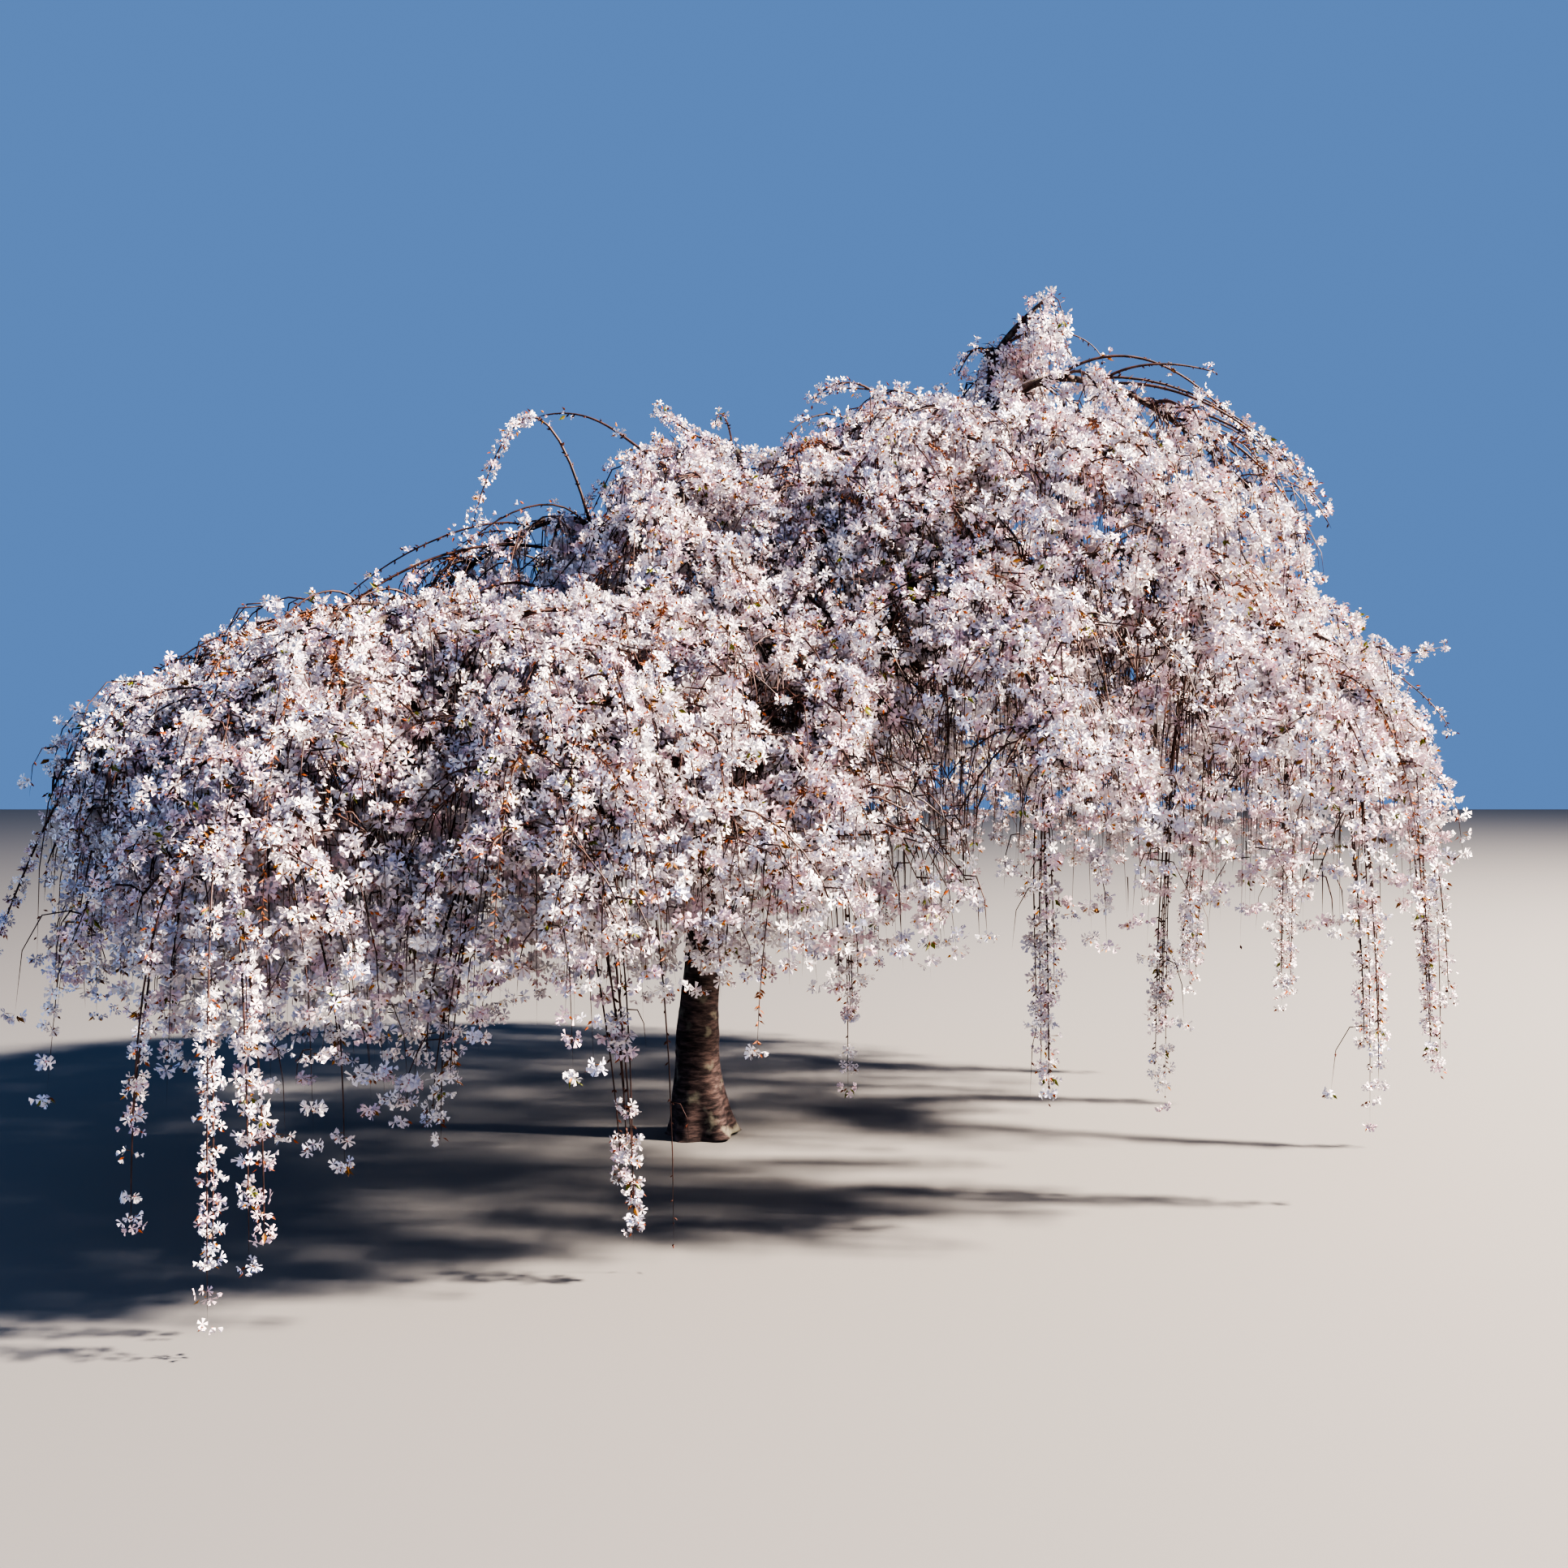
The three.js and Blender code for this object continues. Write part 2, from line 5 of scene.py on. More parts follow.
import bpy
import numpy as np
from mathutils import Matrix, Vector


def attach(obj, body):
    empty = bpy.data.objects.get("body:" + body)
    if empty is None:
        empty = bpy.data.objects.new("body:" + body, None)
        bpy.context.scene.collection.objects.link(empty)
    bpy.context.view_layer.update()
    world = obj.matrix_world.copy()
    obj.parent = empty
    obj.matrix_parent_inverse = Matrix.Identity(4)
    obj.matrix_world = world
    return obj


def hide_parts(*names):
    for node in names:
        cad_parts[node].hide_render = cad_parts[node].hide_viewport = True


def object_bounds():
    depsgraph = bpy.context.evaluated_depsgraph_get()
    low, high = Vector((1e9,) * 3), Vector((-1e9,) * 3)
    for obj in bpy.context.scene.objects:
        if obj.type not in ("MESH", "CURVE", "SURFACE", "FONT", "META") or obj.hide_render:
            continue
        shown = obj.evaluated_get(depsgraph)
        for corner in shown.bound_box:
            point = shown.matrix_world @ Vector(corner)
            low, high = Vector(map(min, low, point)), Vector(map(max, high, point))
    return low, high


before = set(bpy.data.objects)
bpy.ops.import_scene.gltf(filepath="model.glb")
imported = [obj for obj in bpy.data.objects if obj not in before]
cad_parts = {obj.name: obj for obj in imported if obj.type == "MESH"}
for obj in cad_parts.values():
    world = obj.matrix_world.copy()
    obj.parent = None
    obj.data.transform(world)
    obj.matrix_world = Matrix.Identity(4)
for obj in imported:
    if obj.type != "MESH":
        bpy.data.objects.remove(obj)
cad_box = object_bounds()

# The trunk of a grafted weeping cherry: living wood under old cherry bark that is ringed by level bands of
# pores and cracks. It leans a little to the right, widens at its foot into root swells, and forks at chest
# height. It grows out of the ground, which cuts it off level.
MM = 0.001
UP = np.array([0.0, 0.0, 1.0])
FORK_HEIGHT = 1250
TRUNK_LINE = [(0, 0, 0), (-26, 0, 330), (4, 0, 780), (62, 0, FORK_HEIGHT)]
TRUNK_RADII = (88, 70)
FLARE_RADIUS = 60
FLARE_HEIGHT = 170
ROOT_SWELLS = 5
ROOT_SWELL_SHARE = 0.14
TRUNK_SIDES = 110
TRUNK_RINGS = 180
BARK_BAND_HEIGHT = 17
BARK_BAND_WIDTH = 70
BARK_BAND_RELIEF = 2.6
BARK_LUMP_SIZE = 130
BARK_LUMP_RELIEF = 7
BARK_BLOTCH_SIZE = 90
BARK_BUMP_DEPTH = 4
BARK_COLOURS = {"crack": "#1b1414", "ridge": "#3c302e", "weathered": "#63524c", "lichen": "#7c7a69"}
# How high the bands' noise is for each colour, and between which heights of the blotches' noise lichen grows.
BARK_STEPS = {"crack": 0.36, "ridge": 0.48, "weathered": 0.66}
LICHEN_RANGE = (0.58, 0.72)
BARK_BAND_ROUGHNESS = 0.62
BARK_BUMP_STRENGTH = 0.8
# How far the bark's pattern moves on from rod to rod, in metres, so that no two are alike.
PATTERN_SHIFT = (3.1, 1.7, 2.3)
# A rod that goes aside by more than this share of its length has its first side level with the ground.
SLANTING_SHARE = 0.2


class Line:
    """A curve kept as many points on it, each with its share of the whole length."""

    def __init__(self, points):
        self.points = np.asarray(points, float)
        walked = np.cumsum(np.linalg.norm(np.diff(self.points, axis=0), axis=1))
        self.length = walked[-1]
        self.shares = np.concatenate([[0.0], walked / self.length])

    def at(self, share):
        """The place a share of the length along, on the straight line between the nearest kept points."""
        return np.stack([np.interp(share, self.shares, self.points[:, k]) for k in range(3)], axis=-1)

    def heading(self, share):
        """The direction of travel there: from just before it to just after it, made 1 long."""
        share = np.clip(share, 0.01, 0.99)
        return unit(self.at(share + 0.01) - self.at(share - 0.01))


def unit(vectors):
    """Each vector divided by its own length."""
    return vectors / np.maximum(np.linalg.norm(vectors, axis=-1, keepdims=True), 1e-9)


def mix(a, b, share):
    """The value a share of the way from a to b."""
    return a + (b - a) * share


def smooth_line(points, count=24):
    """A smooth curve through points. Its slope at a point is the mean of the slopes of the steps before and
    after it, each weighed by the root of the other's length, and cubics join the points."""
    points = np.asarray(points, float) * MM
    ends = np.vstack([2 * points[0] - points[1], points, 2 * points[-1] - points[-2]])
    steps = np.diff(ends, axis=0)
    times = np.linalg.norm(steps, axis=1)[:, None] ** 0.5
    slopes = steps / times
    slopes = (slopes[:-1] * times[1:] + slopes[1:] * times[:-1]) / (times[:-1] + times[1:])
    t = np.linspace(0, 1, count, endpoint=False)[None, :, None]
    a, b = points[:-1, None], points[1:, None]
    from_a, to_b = (slopes[:-1] * times[1:-1])[:, None], (slopes[1:] * times[1:-1])[:, None]
    cubic = (2 * t**3 - 3 * t**2 + 1) * a + (t**3 - 2 * t**2 + t) * from_a
    cubic = cubic + (3 * t**2 - 2 * t**3) * b + (t**3 - t**2) * to_b
    return Line(np.vstack([cubic.reshape(-1, 3), points[-1:]]))


def lumps(places, seed):
    """Smooth random lumps, about 1 across and from -1 to 1 high: each corner of a grid of unit cubes has a
    random height, worked out from its whole-number place, and a point mixes the heights of its cube."""
    base = np.floor(places).astype(np.int64)
    share = places - base
    share = share * share * (3 - 2 * share)
    total = 0.0
    for corner in np.ndindex(2, 2, 2):
        cell = base + corner
        mixed = cell[..., 0] * 73856093 ^ cell[..., 1] * 19349663 ^ cell[..., 2] * 83492791
        mixed = mixed ^ seed * 2654435761
        mixed = (mixed ^ (mixed >> 13)) * 1274126177 & 0xFFFFFFF
        height = (mixed & 0xFFFF) / 32767.5 - 1
        weight = np.prod(np.where(corner, share, 1 - share), axis=-1)
        total = total + weight * height
    return total


def rod(line, radii, sides, seed, relief):
    """A closed rod round a line: each ring of points lies square to the line at the radius that radii gives
    for its share of the length. relief adds to the radius by the place on the same rod made straight."""
    rings = len(radii)
    share = np.linspace(0, 1, rings)
    angle = np.linspace(0, 2 * np.pi, sides, endpoint=False)
    radius = np.broadcast_to(radii.reshape(rings, -1), (rings, sides))
    round_it = np.stack([np.cos(angle), np.sin(angle)], axis=-1)
    height = np.broadcast_to(share[:, None, None] * line.length, (rings, sides, 1))
    straight = np.concatenate([radius[..., None] * round_it, height], axis=-1)
    straight = straight + np.array(PATTERN_SHIFT) * (seed % 17)
    radius = radius + relief(straight, share[:, None])
    along = line.heading(share)
    chord = (line.at(1.0) - line.at(0.0)) * (1, 1, 0)
    slanting = np.linalg.norm(chord) > SLANTING_SHARE * line.length
    level = unit(np.cross(UP, chord)) if slanting else np.array([0.0, 1, 0])
    across = unit(level - along * (along @ level)[:, None])
    over = np.cross(along, across)
    outward = across[:, None] * round_it[None, :, :1] + over[:, None] * round_it[None, :, 1:]
    points = (line.at(share)[:, None] + radius[..., None] * outward).reshape(-1, 3)
    caps = line.at(np.array([0.0, 1.0]))
    corner = np.arange(rings * sides).reshape(rings, sides)
    after = np.roll(corner, -1, axis=1)
    walls = np.stack([corner[:-1], after[:-1], after[1:], corner[1:]], axis=-1).reshape(-1, 4)
    foot = np.stack([after[0], corner[0], np.full(sides, rings * sides)], axis=-1)
    tip = np.stack([corner[-1], after[-1], np.full(sides, rings * sides + 1)], axis=-1)
    ends = straight[[0, -1]].mean(axis=1)
    return {
        "points": np.vstack([points, caps]),
        "faces": [walls, np.vstack([foot, tip])],
        "straight": np.vstack([straight.reshape(-1, 3), ends]),
    }


def add_piece(name, made, material, nodes, smooth=True):
    """One mesh object at the origin from whole arrays, or from a list of them joined. It rides on the tree,
    takes the material it is given, and stands for the nodes that are named, whose solids it hides."""
    made = made if isinstance(made, list) else [made]
    first = np.cumsum([0] + [len(one["points"]) for one in made])
    points = np.vstack([one["points"] for one in made]).astype(np.float32)
    faces = [face + start for one, start in zip(made, first) for face in one["faces"] if len(face)]
    corners = np.concatenate([face.ravel() for face in faces]).astype(np.int32)
    sizes = np.concatenate([np.full(len(face), face.shape[1]) for face in faces])
    mesh = bpy.data.meshes.new(name)
    mesh.vertices.add(len(points))
    mesh.vertices.foreach_set("co", points.ravel())
    mesh.loops.add(len(corners))
    mesh.loops.foreach_set("vertex_index", corners)
    mesh.polygons.add(len(sizes))
    mesh.polygons.foreach_set("loop_start", (np.cumsum(sizes) - sizes).astype(np.int32))
    mesh.polygons.foreach_set("use_smooth", np.full(len(sizes), smooth))
    if "straight" in made[0]:
        straight = np.vstack([one["straight"] for one in made]).astype(np.float32)
        mesh.attributes.new("straight", "FLOAT_VECTOR", "POINT").data.foreach_set("vector", straight.ravel())
    mesh.update(calc_edges=True)
    mesh.materials.append(material)
    piece = bpy.data.objects.new(name, mesh)
    bpy.context.scene.collection.objects.link(piece)
    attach(piece, "root")
    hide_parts(*nodes)


def linear(colour):
    """An sRGB hex colour as the linear red, green, blue and opacity that a shader takes."""
    share = np.array([int(colour[k : k + 2], 16) for k in (1, 3, 5)]) / 255
    share = np.where(share <= 0.04045, share / 12.92, ((share + 0.055) / 1.055) ** 2.4)
    return (*share, 1.0)


def add_node(material, kind, inputs=(), **settings):
    """Adds a node to a material. settings are the node's own values, and inputs are pairs of a socket and
    either its value or the output that is linked to it."""
    node = material.node_tree.nodes.new(kind)
    for name, value in settings.items():
        setattr(node, name, value)
    for socket, value in inputs:
        if isinstance(value, bpy.types.NodeSocket):
            material.node_tree.links.new(value, node.inputs[socket])
        else:
            node.inputs[socket].default_value = value
    return node


def new_material(name, roughness, ior):
    """An empty material, with its surface shader, whose colour is set by what calls this."""
    material = bpy.data.materials.new(name)
    material.use_nodes = True
    shader = material.node_tree.nodes["Principled BSDF"]
    shader.inputs["Roughness"].default_value = roughness
    shader.inputs["IOR"].default_value = ior
    return material, shader


def noise(material, place, scale, detail, roughness=0.5):
    """The value of smooth noise at a place: scale lumps to a metre, with finer ones on them."""
    inputs = [("Vector", place), ("Scale", scale), ("Detail", detail), ("Roughness", roughness)]
    return add_node(material, "ShaderNodeTexNoise", inputs).outputs["Fac"]


def ramp(material, value, ends):
    """A node that blends from one colour to another as a value goes from the first place to the second."""
    node = add_node(material, "ShaderNodeValToRGB", [("Fac", value)])
    for element, (position, colour) in zip(node.color_ramp.elements, ends):
        element.position = position
        element.color = linear(colour)
    return node


def cherry_bark():
    """Old cherry bark, grown and weathered: dull, dark grey-brown, ringed by level bands of pores and dark
    cracks, with paler worn ridges and faint lichen. Bands follow the straightened rod, blotches the tree."""
    material, shader = new_material("old_cherry_bark", roughness=0.86, ior=1.45)
    straight = add_node(material, "ShaderNodeAttribute", attribute_name="straight").outputs["Vector"]
    place = add_node(material, "ShaderNodeTexCoord").outputs["Object"]
    width, height = 1 / (BARK_BAND_WIDTH * MM), 1 / (BARK_BAND_HEIGHT * MM)
    turned = add_node(
        material, "ShaderNodeMapping", [("Vector", straight), ("Scale", (width, width, height))]
    ).outputs["Vector"]
    bands = noise(material, turned, 1.0, detail=5.0, roughness=BARK_BAND_ROUGHNESS)
    blotches = noise(material, place, 1 / (BARK_BLOTCH_SIZE * MM), detail=4.0)
    ridge = ramp(material, bands, [(BARK_STEPS[one], BARK_COLOURS[one]) for one in ("crack", "weathered")])
    middle = ridge.color_ramp.elements.new(BARK_STEPS["ridge"])
    middle.color = linear(BARK_COLOURS["ridge"])
    low, high = LICHEN_RANGE
    from_to = [("Value", blotches), ("From Min", low), ("From Max", high)]
    patch = add_node(material, "ShaderNodeMapRange", from_to)
    # The mixing node has sockets of one name for each kind of value, so its two colours go by number.
    lichen = linear(BARK_COLOURS["lichen"])
    colours = [("Factor", patch.outputs["Result"]), (6, ridge.outputs["Color"]), (7, lichen)]
    mixed = add_node(material, "ShaderNodeMix", colours, data_type="RGBA")
    material.node_tree.links.new(mixed.outputs[2], shader.inputs["Base Color"])
    relief = [("Height", bands), ("Strength", BARK_BUMP_STRENGTH), ("Distance", BARK_BUMP_DEPTH * MM)]
    bump = add_node(material, "ShaderNodeBump", relief)
    material.node_tree.links.new(bump.outputs["Normal"], shader.inputs["Normal"])
    return material


def bark_relief(seed, share_of_trunk):
    """The relief of bark on a rod: slow lumps, and bands of pores, lying across it, that stand out where
    their lumps are high. Thinner wood has both to a smaller share."""
    band_size = np.array([BARK_BAND_WIDTH, BARK_BAND_WIDTH, BARK_BAND_HEIGHT]) * MM

    def relief(straight, share):
        """The slow lumps times their height, plus the upper half of the bands' lumps times theirs."""
        slow = lumps(straight / (BARK_LUMP_SIZE * MM * share_of_trunk**0.5), seed)
        bands = np.clip(lumps(straight / band_size, seed + 1), 0, 1)
        return share_of_trunk * MM * (BARK_LUMP_RELIEF * slow + BARK_BAND_RELIEF * bands)

    return relief


def trunk_radii(line):
    """The trunk's radius by ring and side: an even taper, plus a flare that dies away with height and stands
    out in swells round the foot."""
    share = np.linspace(0, 1, TRUNK_RINGS)[:, None]
    angle = np.linspace(0, 2 * np.pi, TRUNK_SIDES, endpoint=False)[None, :]
    flare = np.exp(-line.at(share[:, 0])[:, 2:] / (FLARE_HEIGHT * MM))
    shaft = mix(*TRUNK_RADII, share) + FLARE_RADIUS * flare
    return shaft * (1 + ROOT_SWELL_SHARE * flare * np.cos(ROOT_SWELLS * angle)) * MM


trunk_line = smooth_line(TRUNK_LINE)
bark = cherry_bark()
trunk = rod(trunk_line, trunk_radii(trunk_line), TRUNK_SIDES, 1, bark_relief(1, 1.0))
trunk["points"][:, 2] = np.maximum(trunk["points"][:, 2], 0)
add_piece("trunk_bark", trunk, bark, ["trunk"])

# The limbs: boughs that rise from the fork and arch over, and the thinner limbs that leave them. They are
# the same wood under the same bark, each one tapering from a collar where it grows out of its parent.
LIMB_SIDES = 18
LIMB_RING_SPACING = 25
COLLAR_SHARE = 0.45
COLLAR_LENGTH = 70
STUB_LINE = [(1228, 90, 3190), (1222, 88, 3250), (1206, 84, 3318)]
STUB_RADII = (24, 21)
STUB_RELIEF = 0.6
BARK_SEEDS = {"limb": 10, "stub": 50, "stem": 60}
# Each limb's name, what it grows from and at which share of that one's length, its tip, how far its middle
# rises and sways, and its radii at foot and tip.
LIMBS = [
    ("bough_right", "trunk", 0.97, (980, 60, 2120), -92, 25, (62, 47)),
    ("bough_left", "trunk", 0.93, (-560, -560, 1960), 60, 0, (54, 36)),
    ("bough_back", "trunk", 0.95, (100, 700, 2040), 60, 0, (46, 30)),
    ("bough_front", "trunk", 0.88, (290, -760, 2000), 60, 0, (38, 19)),
    ("leader", "bough_right", 1, (1225, 90, 3200), -112, 44, (46, 25)),
    ("limb_crown", "trunk", 0.99, (150, 70, 2800), 30, -50, (40, 16)),
    ("limb_crown_front", "limb_crown", 0.72, (-30, -300, 2740), 30, 0, (24, 14)),
    ("limb_right", "bough_right", 0.97, (1560, 180, 2460), 60, 0, (34, 20)),
    ("limb_right_front", "bough_right", 0.84, (1540, -460, 2380), 90, 0, (32, 18)),
    ("limb_right_back", "bough_right", 0.9, (1600, 560, 2320), 90, 0, (32, 18)),
    ("limb_middle_front", "bough_right", 0.55, (860, -540, 2300), 70, 0, (31, 17)),
    ("limb_middle", "bough_right", 0.4, (520, -160, 2740), 60, 0, (28, 15)),
    ("limb_upper_right", "leader", 0.86, (1560, 40, 3180), 50, 0, (24, 14)),
    ("limb_upper_left", "leader", 0.78, (940, 110, 3100), 50, 0, (24, 14)),
    ("limb_upper_front", "leader", 0.6, (1340, -270, 2960), 60, 0, (24, 14)),
    ("limb_upper_back", "leader", 0.52, (1190, 460, 2860), 60, 0, (24, 14)),
    ("limb_upper_middle", "leader", 0.69, (1010, -230, 3000), 50, 0, (24, 14)),
    ("limb_upper_left_back", "leader", 0.64, (860, 460, 2920), 60, 0, (24, 14)),
    ("limb_back", "bough_back", 0.97, (460, 1120, 2280), 50, 0, (28, 17)),
    ("limb_back_right", "bough_right", 0.72, (1300, 980, 2300), 100, 0, (31, 17)),
    ("limb_back_middle", "bough_back", 0.8, (20, 1220, 2240), 60, 0, (27, 16)),
    ("limb_back_far_left", "bough_back", 0.4, (-640, 520, 2200), 90, 0, (27, 16)),
    ("limb_back_left", "bough_back", 0.6, (-380, 780, 2190), 70, 0, (28, 16)),
    ("limb_left_crown", "bough_left", 0.5, (-400, -400, 2440), 40, 0, (26, 14)),
    ("limb_far_left", "bough_left", 0.96, (-1160, -620, 2170), 80, 0, (29, 17)),
    ("limb_left", "bough_left", 0.8, (-1120, -220, 2200), 80, 0, (28, 16)),
    ("limb_left_middle", "bough_left", 0.99, (-1080, -900, 2150), 70, 0, (28, 16)),
    ("limb_left_back", "bough_left", 0.62, (-880, 220, 2120), 90, 0, (28, 16)),
    ("limb_left_front", "bough_left", 0.9, (-860, -1060, 2140), 80, 0, (29, 17)),
    ("limb_front_middle", "bough_front", 0.5, (-10, -920, 2080), 70, 0, (26, 15)),
    ("limb_front", "bough_left", 0.7, (-350, -1060, 2130), 80, 0, (28, 16)),
]


def bent(corners, count=60):
    """The Bezier curve of these corners: each round takes the point a share t of the way from each corner
    to the next, until one is left."""
    t = np.linspace(0, 1, count)[:, None]
    rounds = [np.asarray(corner, float) + 0 * t for corner in corners]
    while len(rounds) > 1:
        rounds = [mix(a, b, t) for a, b in zip(rounds, rounds[1:])]
    return rounds[0]


def limb_line(parent, at, tip, rise, sway):
    """A limb bows from its foot on its parent's line to its tip: its middle stands over, and aside of, the
    straight line between them."""
    foot, tip = parent.at(float(at)), np.array(tip) * MM
    bend = mix(foot, tip, 0.5) + np.array([sway, 0, rise]) * 2 * MM
    return Line(bent([foot, bend, tip]))


def tapered(line, radii, collar):
    """Radii in metres by ring: an even taper, and a collar that dies away from the foot."""
    rings = max(4, int(line.length / (LIMB_RING_SPACING * MM)))
    share = np.linspace(0, 1, rings)
    swell = 1 + collar * np.exp(-share * line.length / (COLLAR_LENGTH * MM))
    return mix(*radii, share) * swell * MM


limb_lines = {"trunk": trunk_line}
tip_radii = {}
limb_rods = []
for number, (name, parent, at, tip, rise, sway, radii) in enumerate(LIMBS):
    line = limb_line(limb_lines[parent], at, tip, rise, sway)
    limb_lines[name], tip_radii[name] = line, radii[1]
    collar = 0 if at == 1 else COLLAR_SHARE
    relief = bark_relief(BARK_SEEDS["limb"] + number, radii[0] / TRUNK_RADII[0])
    limb_rods.append(rod(line, tapered(line, radii, collar), LIMB_SIDES, 2 + number, relief))
# The leader's own top broke off long ago, and left a stub beside the shoot that took over.
stub_line = smooth_line(STUB_LINE)
relief = bark_relief(BARK_SEEDS["stub"], STUB_RELIEF)
limb_rods.append(rod(stub_line, tapered(stub_line, STUB_RADII, 0), LIMB_SIDES, BARK_SEEDS["stub"], relief))
add_piece("limb_bark", limb_rods, bark, [name for name, *_ in LIMBS])

# The masses of hanging blossom. A stem carries on from each limb's tip, and twigs hang from it in a
# curtain, with finer ones between and beside them. They are young cherry wood, thin enough to bow under
# the flowers, with smooth red-brown bark.
STEM_BARE_SHARE = 0.12
STEM_REACH_SHARE = 0.35
STEM_TIP_RADIUS = 5
STEM_SIDES = 10
SHOULDER_SHARE = 0.62
SHOULDER_RISE = 40
ELBOW_SHARE = 0.28
LEAN_SHARE = (0.3, 1)
ONWARD_SHARE = (-0.05, 0.35)
SPREAD_AT_FOOT = 0.5
SKIRT_RAGGEDNESS = 300
SHORTEST_DROP = 200
FIRST_LEAVING_PLACE = 0.2
LEAVING_PLACES = 17
MASS_SEEDS = 1000
FINER_SEEDS = 100
STEM_RELIEF = 0.15
# Each mass: the end of its stem, how far its twigs spread, the height of its skirt, and how many twigs it has
# in the solids.
MASSES = {
    "top": ((1445, 95, 3530), 200, 3230, 6),
    "right": ((2920, 160, 1760), 560, 1060, 11),
    "right_front": ((2360, -1420, 1540), 540, 920, 10),
    "right_back": ((2620, 1220, 1520), 560, 920, 10),
    "middle_front": ((1220, -1760, 1560), 500, 980, 10),
    "middle": ((470, -1060, 2160), 380, 1300, 8),
    "upper_right": ((2420, -140, 2520), 400, 2060, 9),
    "upper_left": ((380, 200, 2720), 380, 2160, 9),
    "upper_front": ((1660, -1060, 2380), 380, 1900, 8),
    "upper_middle": ((840, -1000, 2420), 400, 1900, 8),
    "upper_left_back": ((440, 1060, 2400), 420, 1850, 7),
    "upper_back": ((1260, 1280, 2320), 440, 1760, 8),
    "back_right": ((1880, 1980, 1460), 560, 950, 9),
    "back_middle": ((-80, 2420, 1400), 540, 880, 9),
    "back_far_left": ((-1600, 1600, 1380), 560, 850, 9),
    "back": ((860, 2380, 1440), 560, 900, 10),
    "back_left": ((-940, 2040, 1400), 560, 850, 10),
    "crown": ((-480, 560, 2380), 440, 1700, 9),
    "crown_front": ((20, -1160, 2100), 400, 1350, 9),
    "left_crown": ((-1100, -440, 2160), 380, 1700, 8),
    "far_left": ((-2280, -880, 1540), 460, 830, 10),
    "left_middle": ((-1860, -1600, 1420), 460, 720, 10),
    "left": ((-2340, 40, 1460), 540, 850, 9),
    "left_back": ((-2080, 920, 1420), 560, 850, 10),
    "left_front": ((-1280, -2220, 1340), 520, 500, 11),
    "front": ((-420, -2260, 1300), 500, 680, 11),
    "front_right": ((500, -1960, 1260), 460, 860, 10),
    "front_middle": ((30, -2080, 1300), 420, 820, 9),
}
# The limbs of the two masses that don't grow from a limb of their own name.
OTHER_LIMBS = {"top": "leader", "front_right": "bough_front"}
# The tips of the longest twigs.
LONG_TIPS = {
    "right": [(3000, -260, 290), (2600, 560, 420)],
    "right_front": [(1720, -980, 320), (2420, -1100, 290)],
    "right_back": [(2360, 1300, 420)],
    "middle_front": [(1230, -1400, 420)],
    "back": [(860, 2140, 400)],
    "back_left": [(-760, 1900, 380)],
    "far_left": [(-2180, -900, 640)],
    "left_back": [(-1900, 900, 420)],
    "left_front": [(-1190, -2600, 90), (-1470, -2400, 250), (-1130, -2440, 190), (-940, -2160, 360)],
    "front": [(-120, -1920, 90), (0, -1880, 60), (-680, -2060, 430)],
    "front_right": [(560, -1300, 400)],
}
# The wands, which arch in the solids too: where on the stem each starts, its tip and its rise.
WANDS = {
    "top": [(0.15, (1070, 60, 3190), 90)],
    "right": [(0.72, (3140, 80, 2060), -40), (0.6, (2800, 120, 2180), 60)],
    "upper_right": [(0.02, (2570, 40, 2740), 150), (0.3, (2580, -160, 2580), 120)],
    "upper_left": [(0.2, (450, 60, 3090), 100)],
    "crown": [(0.1, (-200, 0, 3060), -30)],
    "left_crown": [(0.05, (-860, -620, 2440), 450)],
    "far_left": [(0.97, (-2540, -920, 900), 40)],
}
BLOSSOM_NODES = [f"blossom_{name}" for name in MASSES]
# Finer wood than the solids have. Boughlets arch out from the limb's outer part and the stem to either side,
# sprays arch out from the boughlets, and more twigs hang from both. Sizes are in mm or shares of the spread.
BOUGHLET_SPACING = 165
BOUGHLET_START = 0.35
BOUGHLET_PLACES = (0.2, 0.9)
BOUGHLET_ANGLES = (18, 78)
BOUGHLET_REACH = (0.5, 1.05)
BOUGHLET_END_SHARE = 0.55
BOUGHLET_RISE = (0.05, 0.24)
BOUGHLET_DROP = (0.2, 0.8)
ARC_SHOULDER_SHARE = 0.35
ARC_ELBOW_SHARE = 0.1
ARC_ELBOW_CLIMB = 1.6
SPRAYS_A_BOUGHLET = 4
SPRAY_PLACES = (0.1, 1.0)
SPRAY_TURN = 0.05
SPRAY_ANGLES = (15, 110)
SPRAY_REACH = (180, 420)
SPRAY_RISE = (0.0, 0.3)
SPRAY_DROP = (0.3, 1.3)
BOUGHLET_TWIG_SPACING = 88
BOUGHLET_TWIG_PLACES = (0.2, 1.0)
BOUGHLET_TWIG_TURN = 0.6
BOUGHLET_TWIG_SHARE = (0.35, 1.0)
TWIG_SLANT = (0.2, 0.6)
LONGEST_SLANTING_DROP = 0.7
INNER_SHARE = 0.7
INNER_DROP_SHARE = (0.2, 0.5)
# Finer twigs beside each long one whose tip is higher than the lowest given, and fewer in the masses whose
# long twigs trail thin.
COMPANIONS = 4
COMPANION_LOWEST = 75
COMPANION_APART = 42
COMPANION_START = (0.15, 0.6)
COMPANION_RAISE = (40, 420)
COMPANION_BENDS = (0.3, 0.7)
TRAILING_MASSES = ("left_front",)
WHIPS = 4
WHIP_PLACES = (0.1, 0.95)
WHIP_REACH = (300, 560)
WHIP_DROP = (350, 800)
WHIP_TURN = 1.2
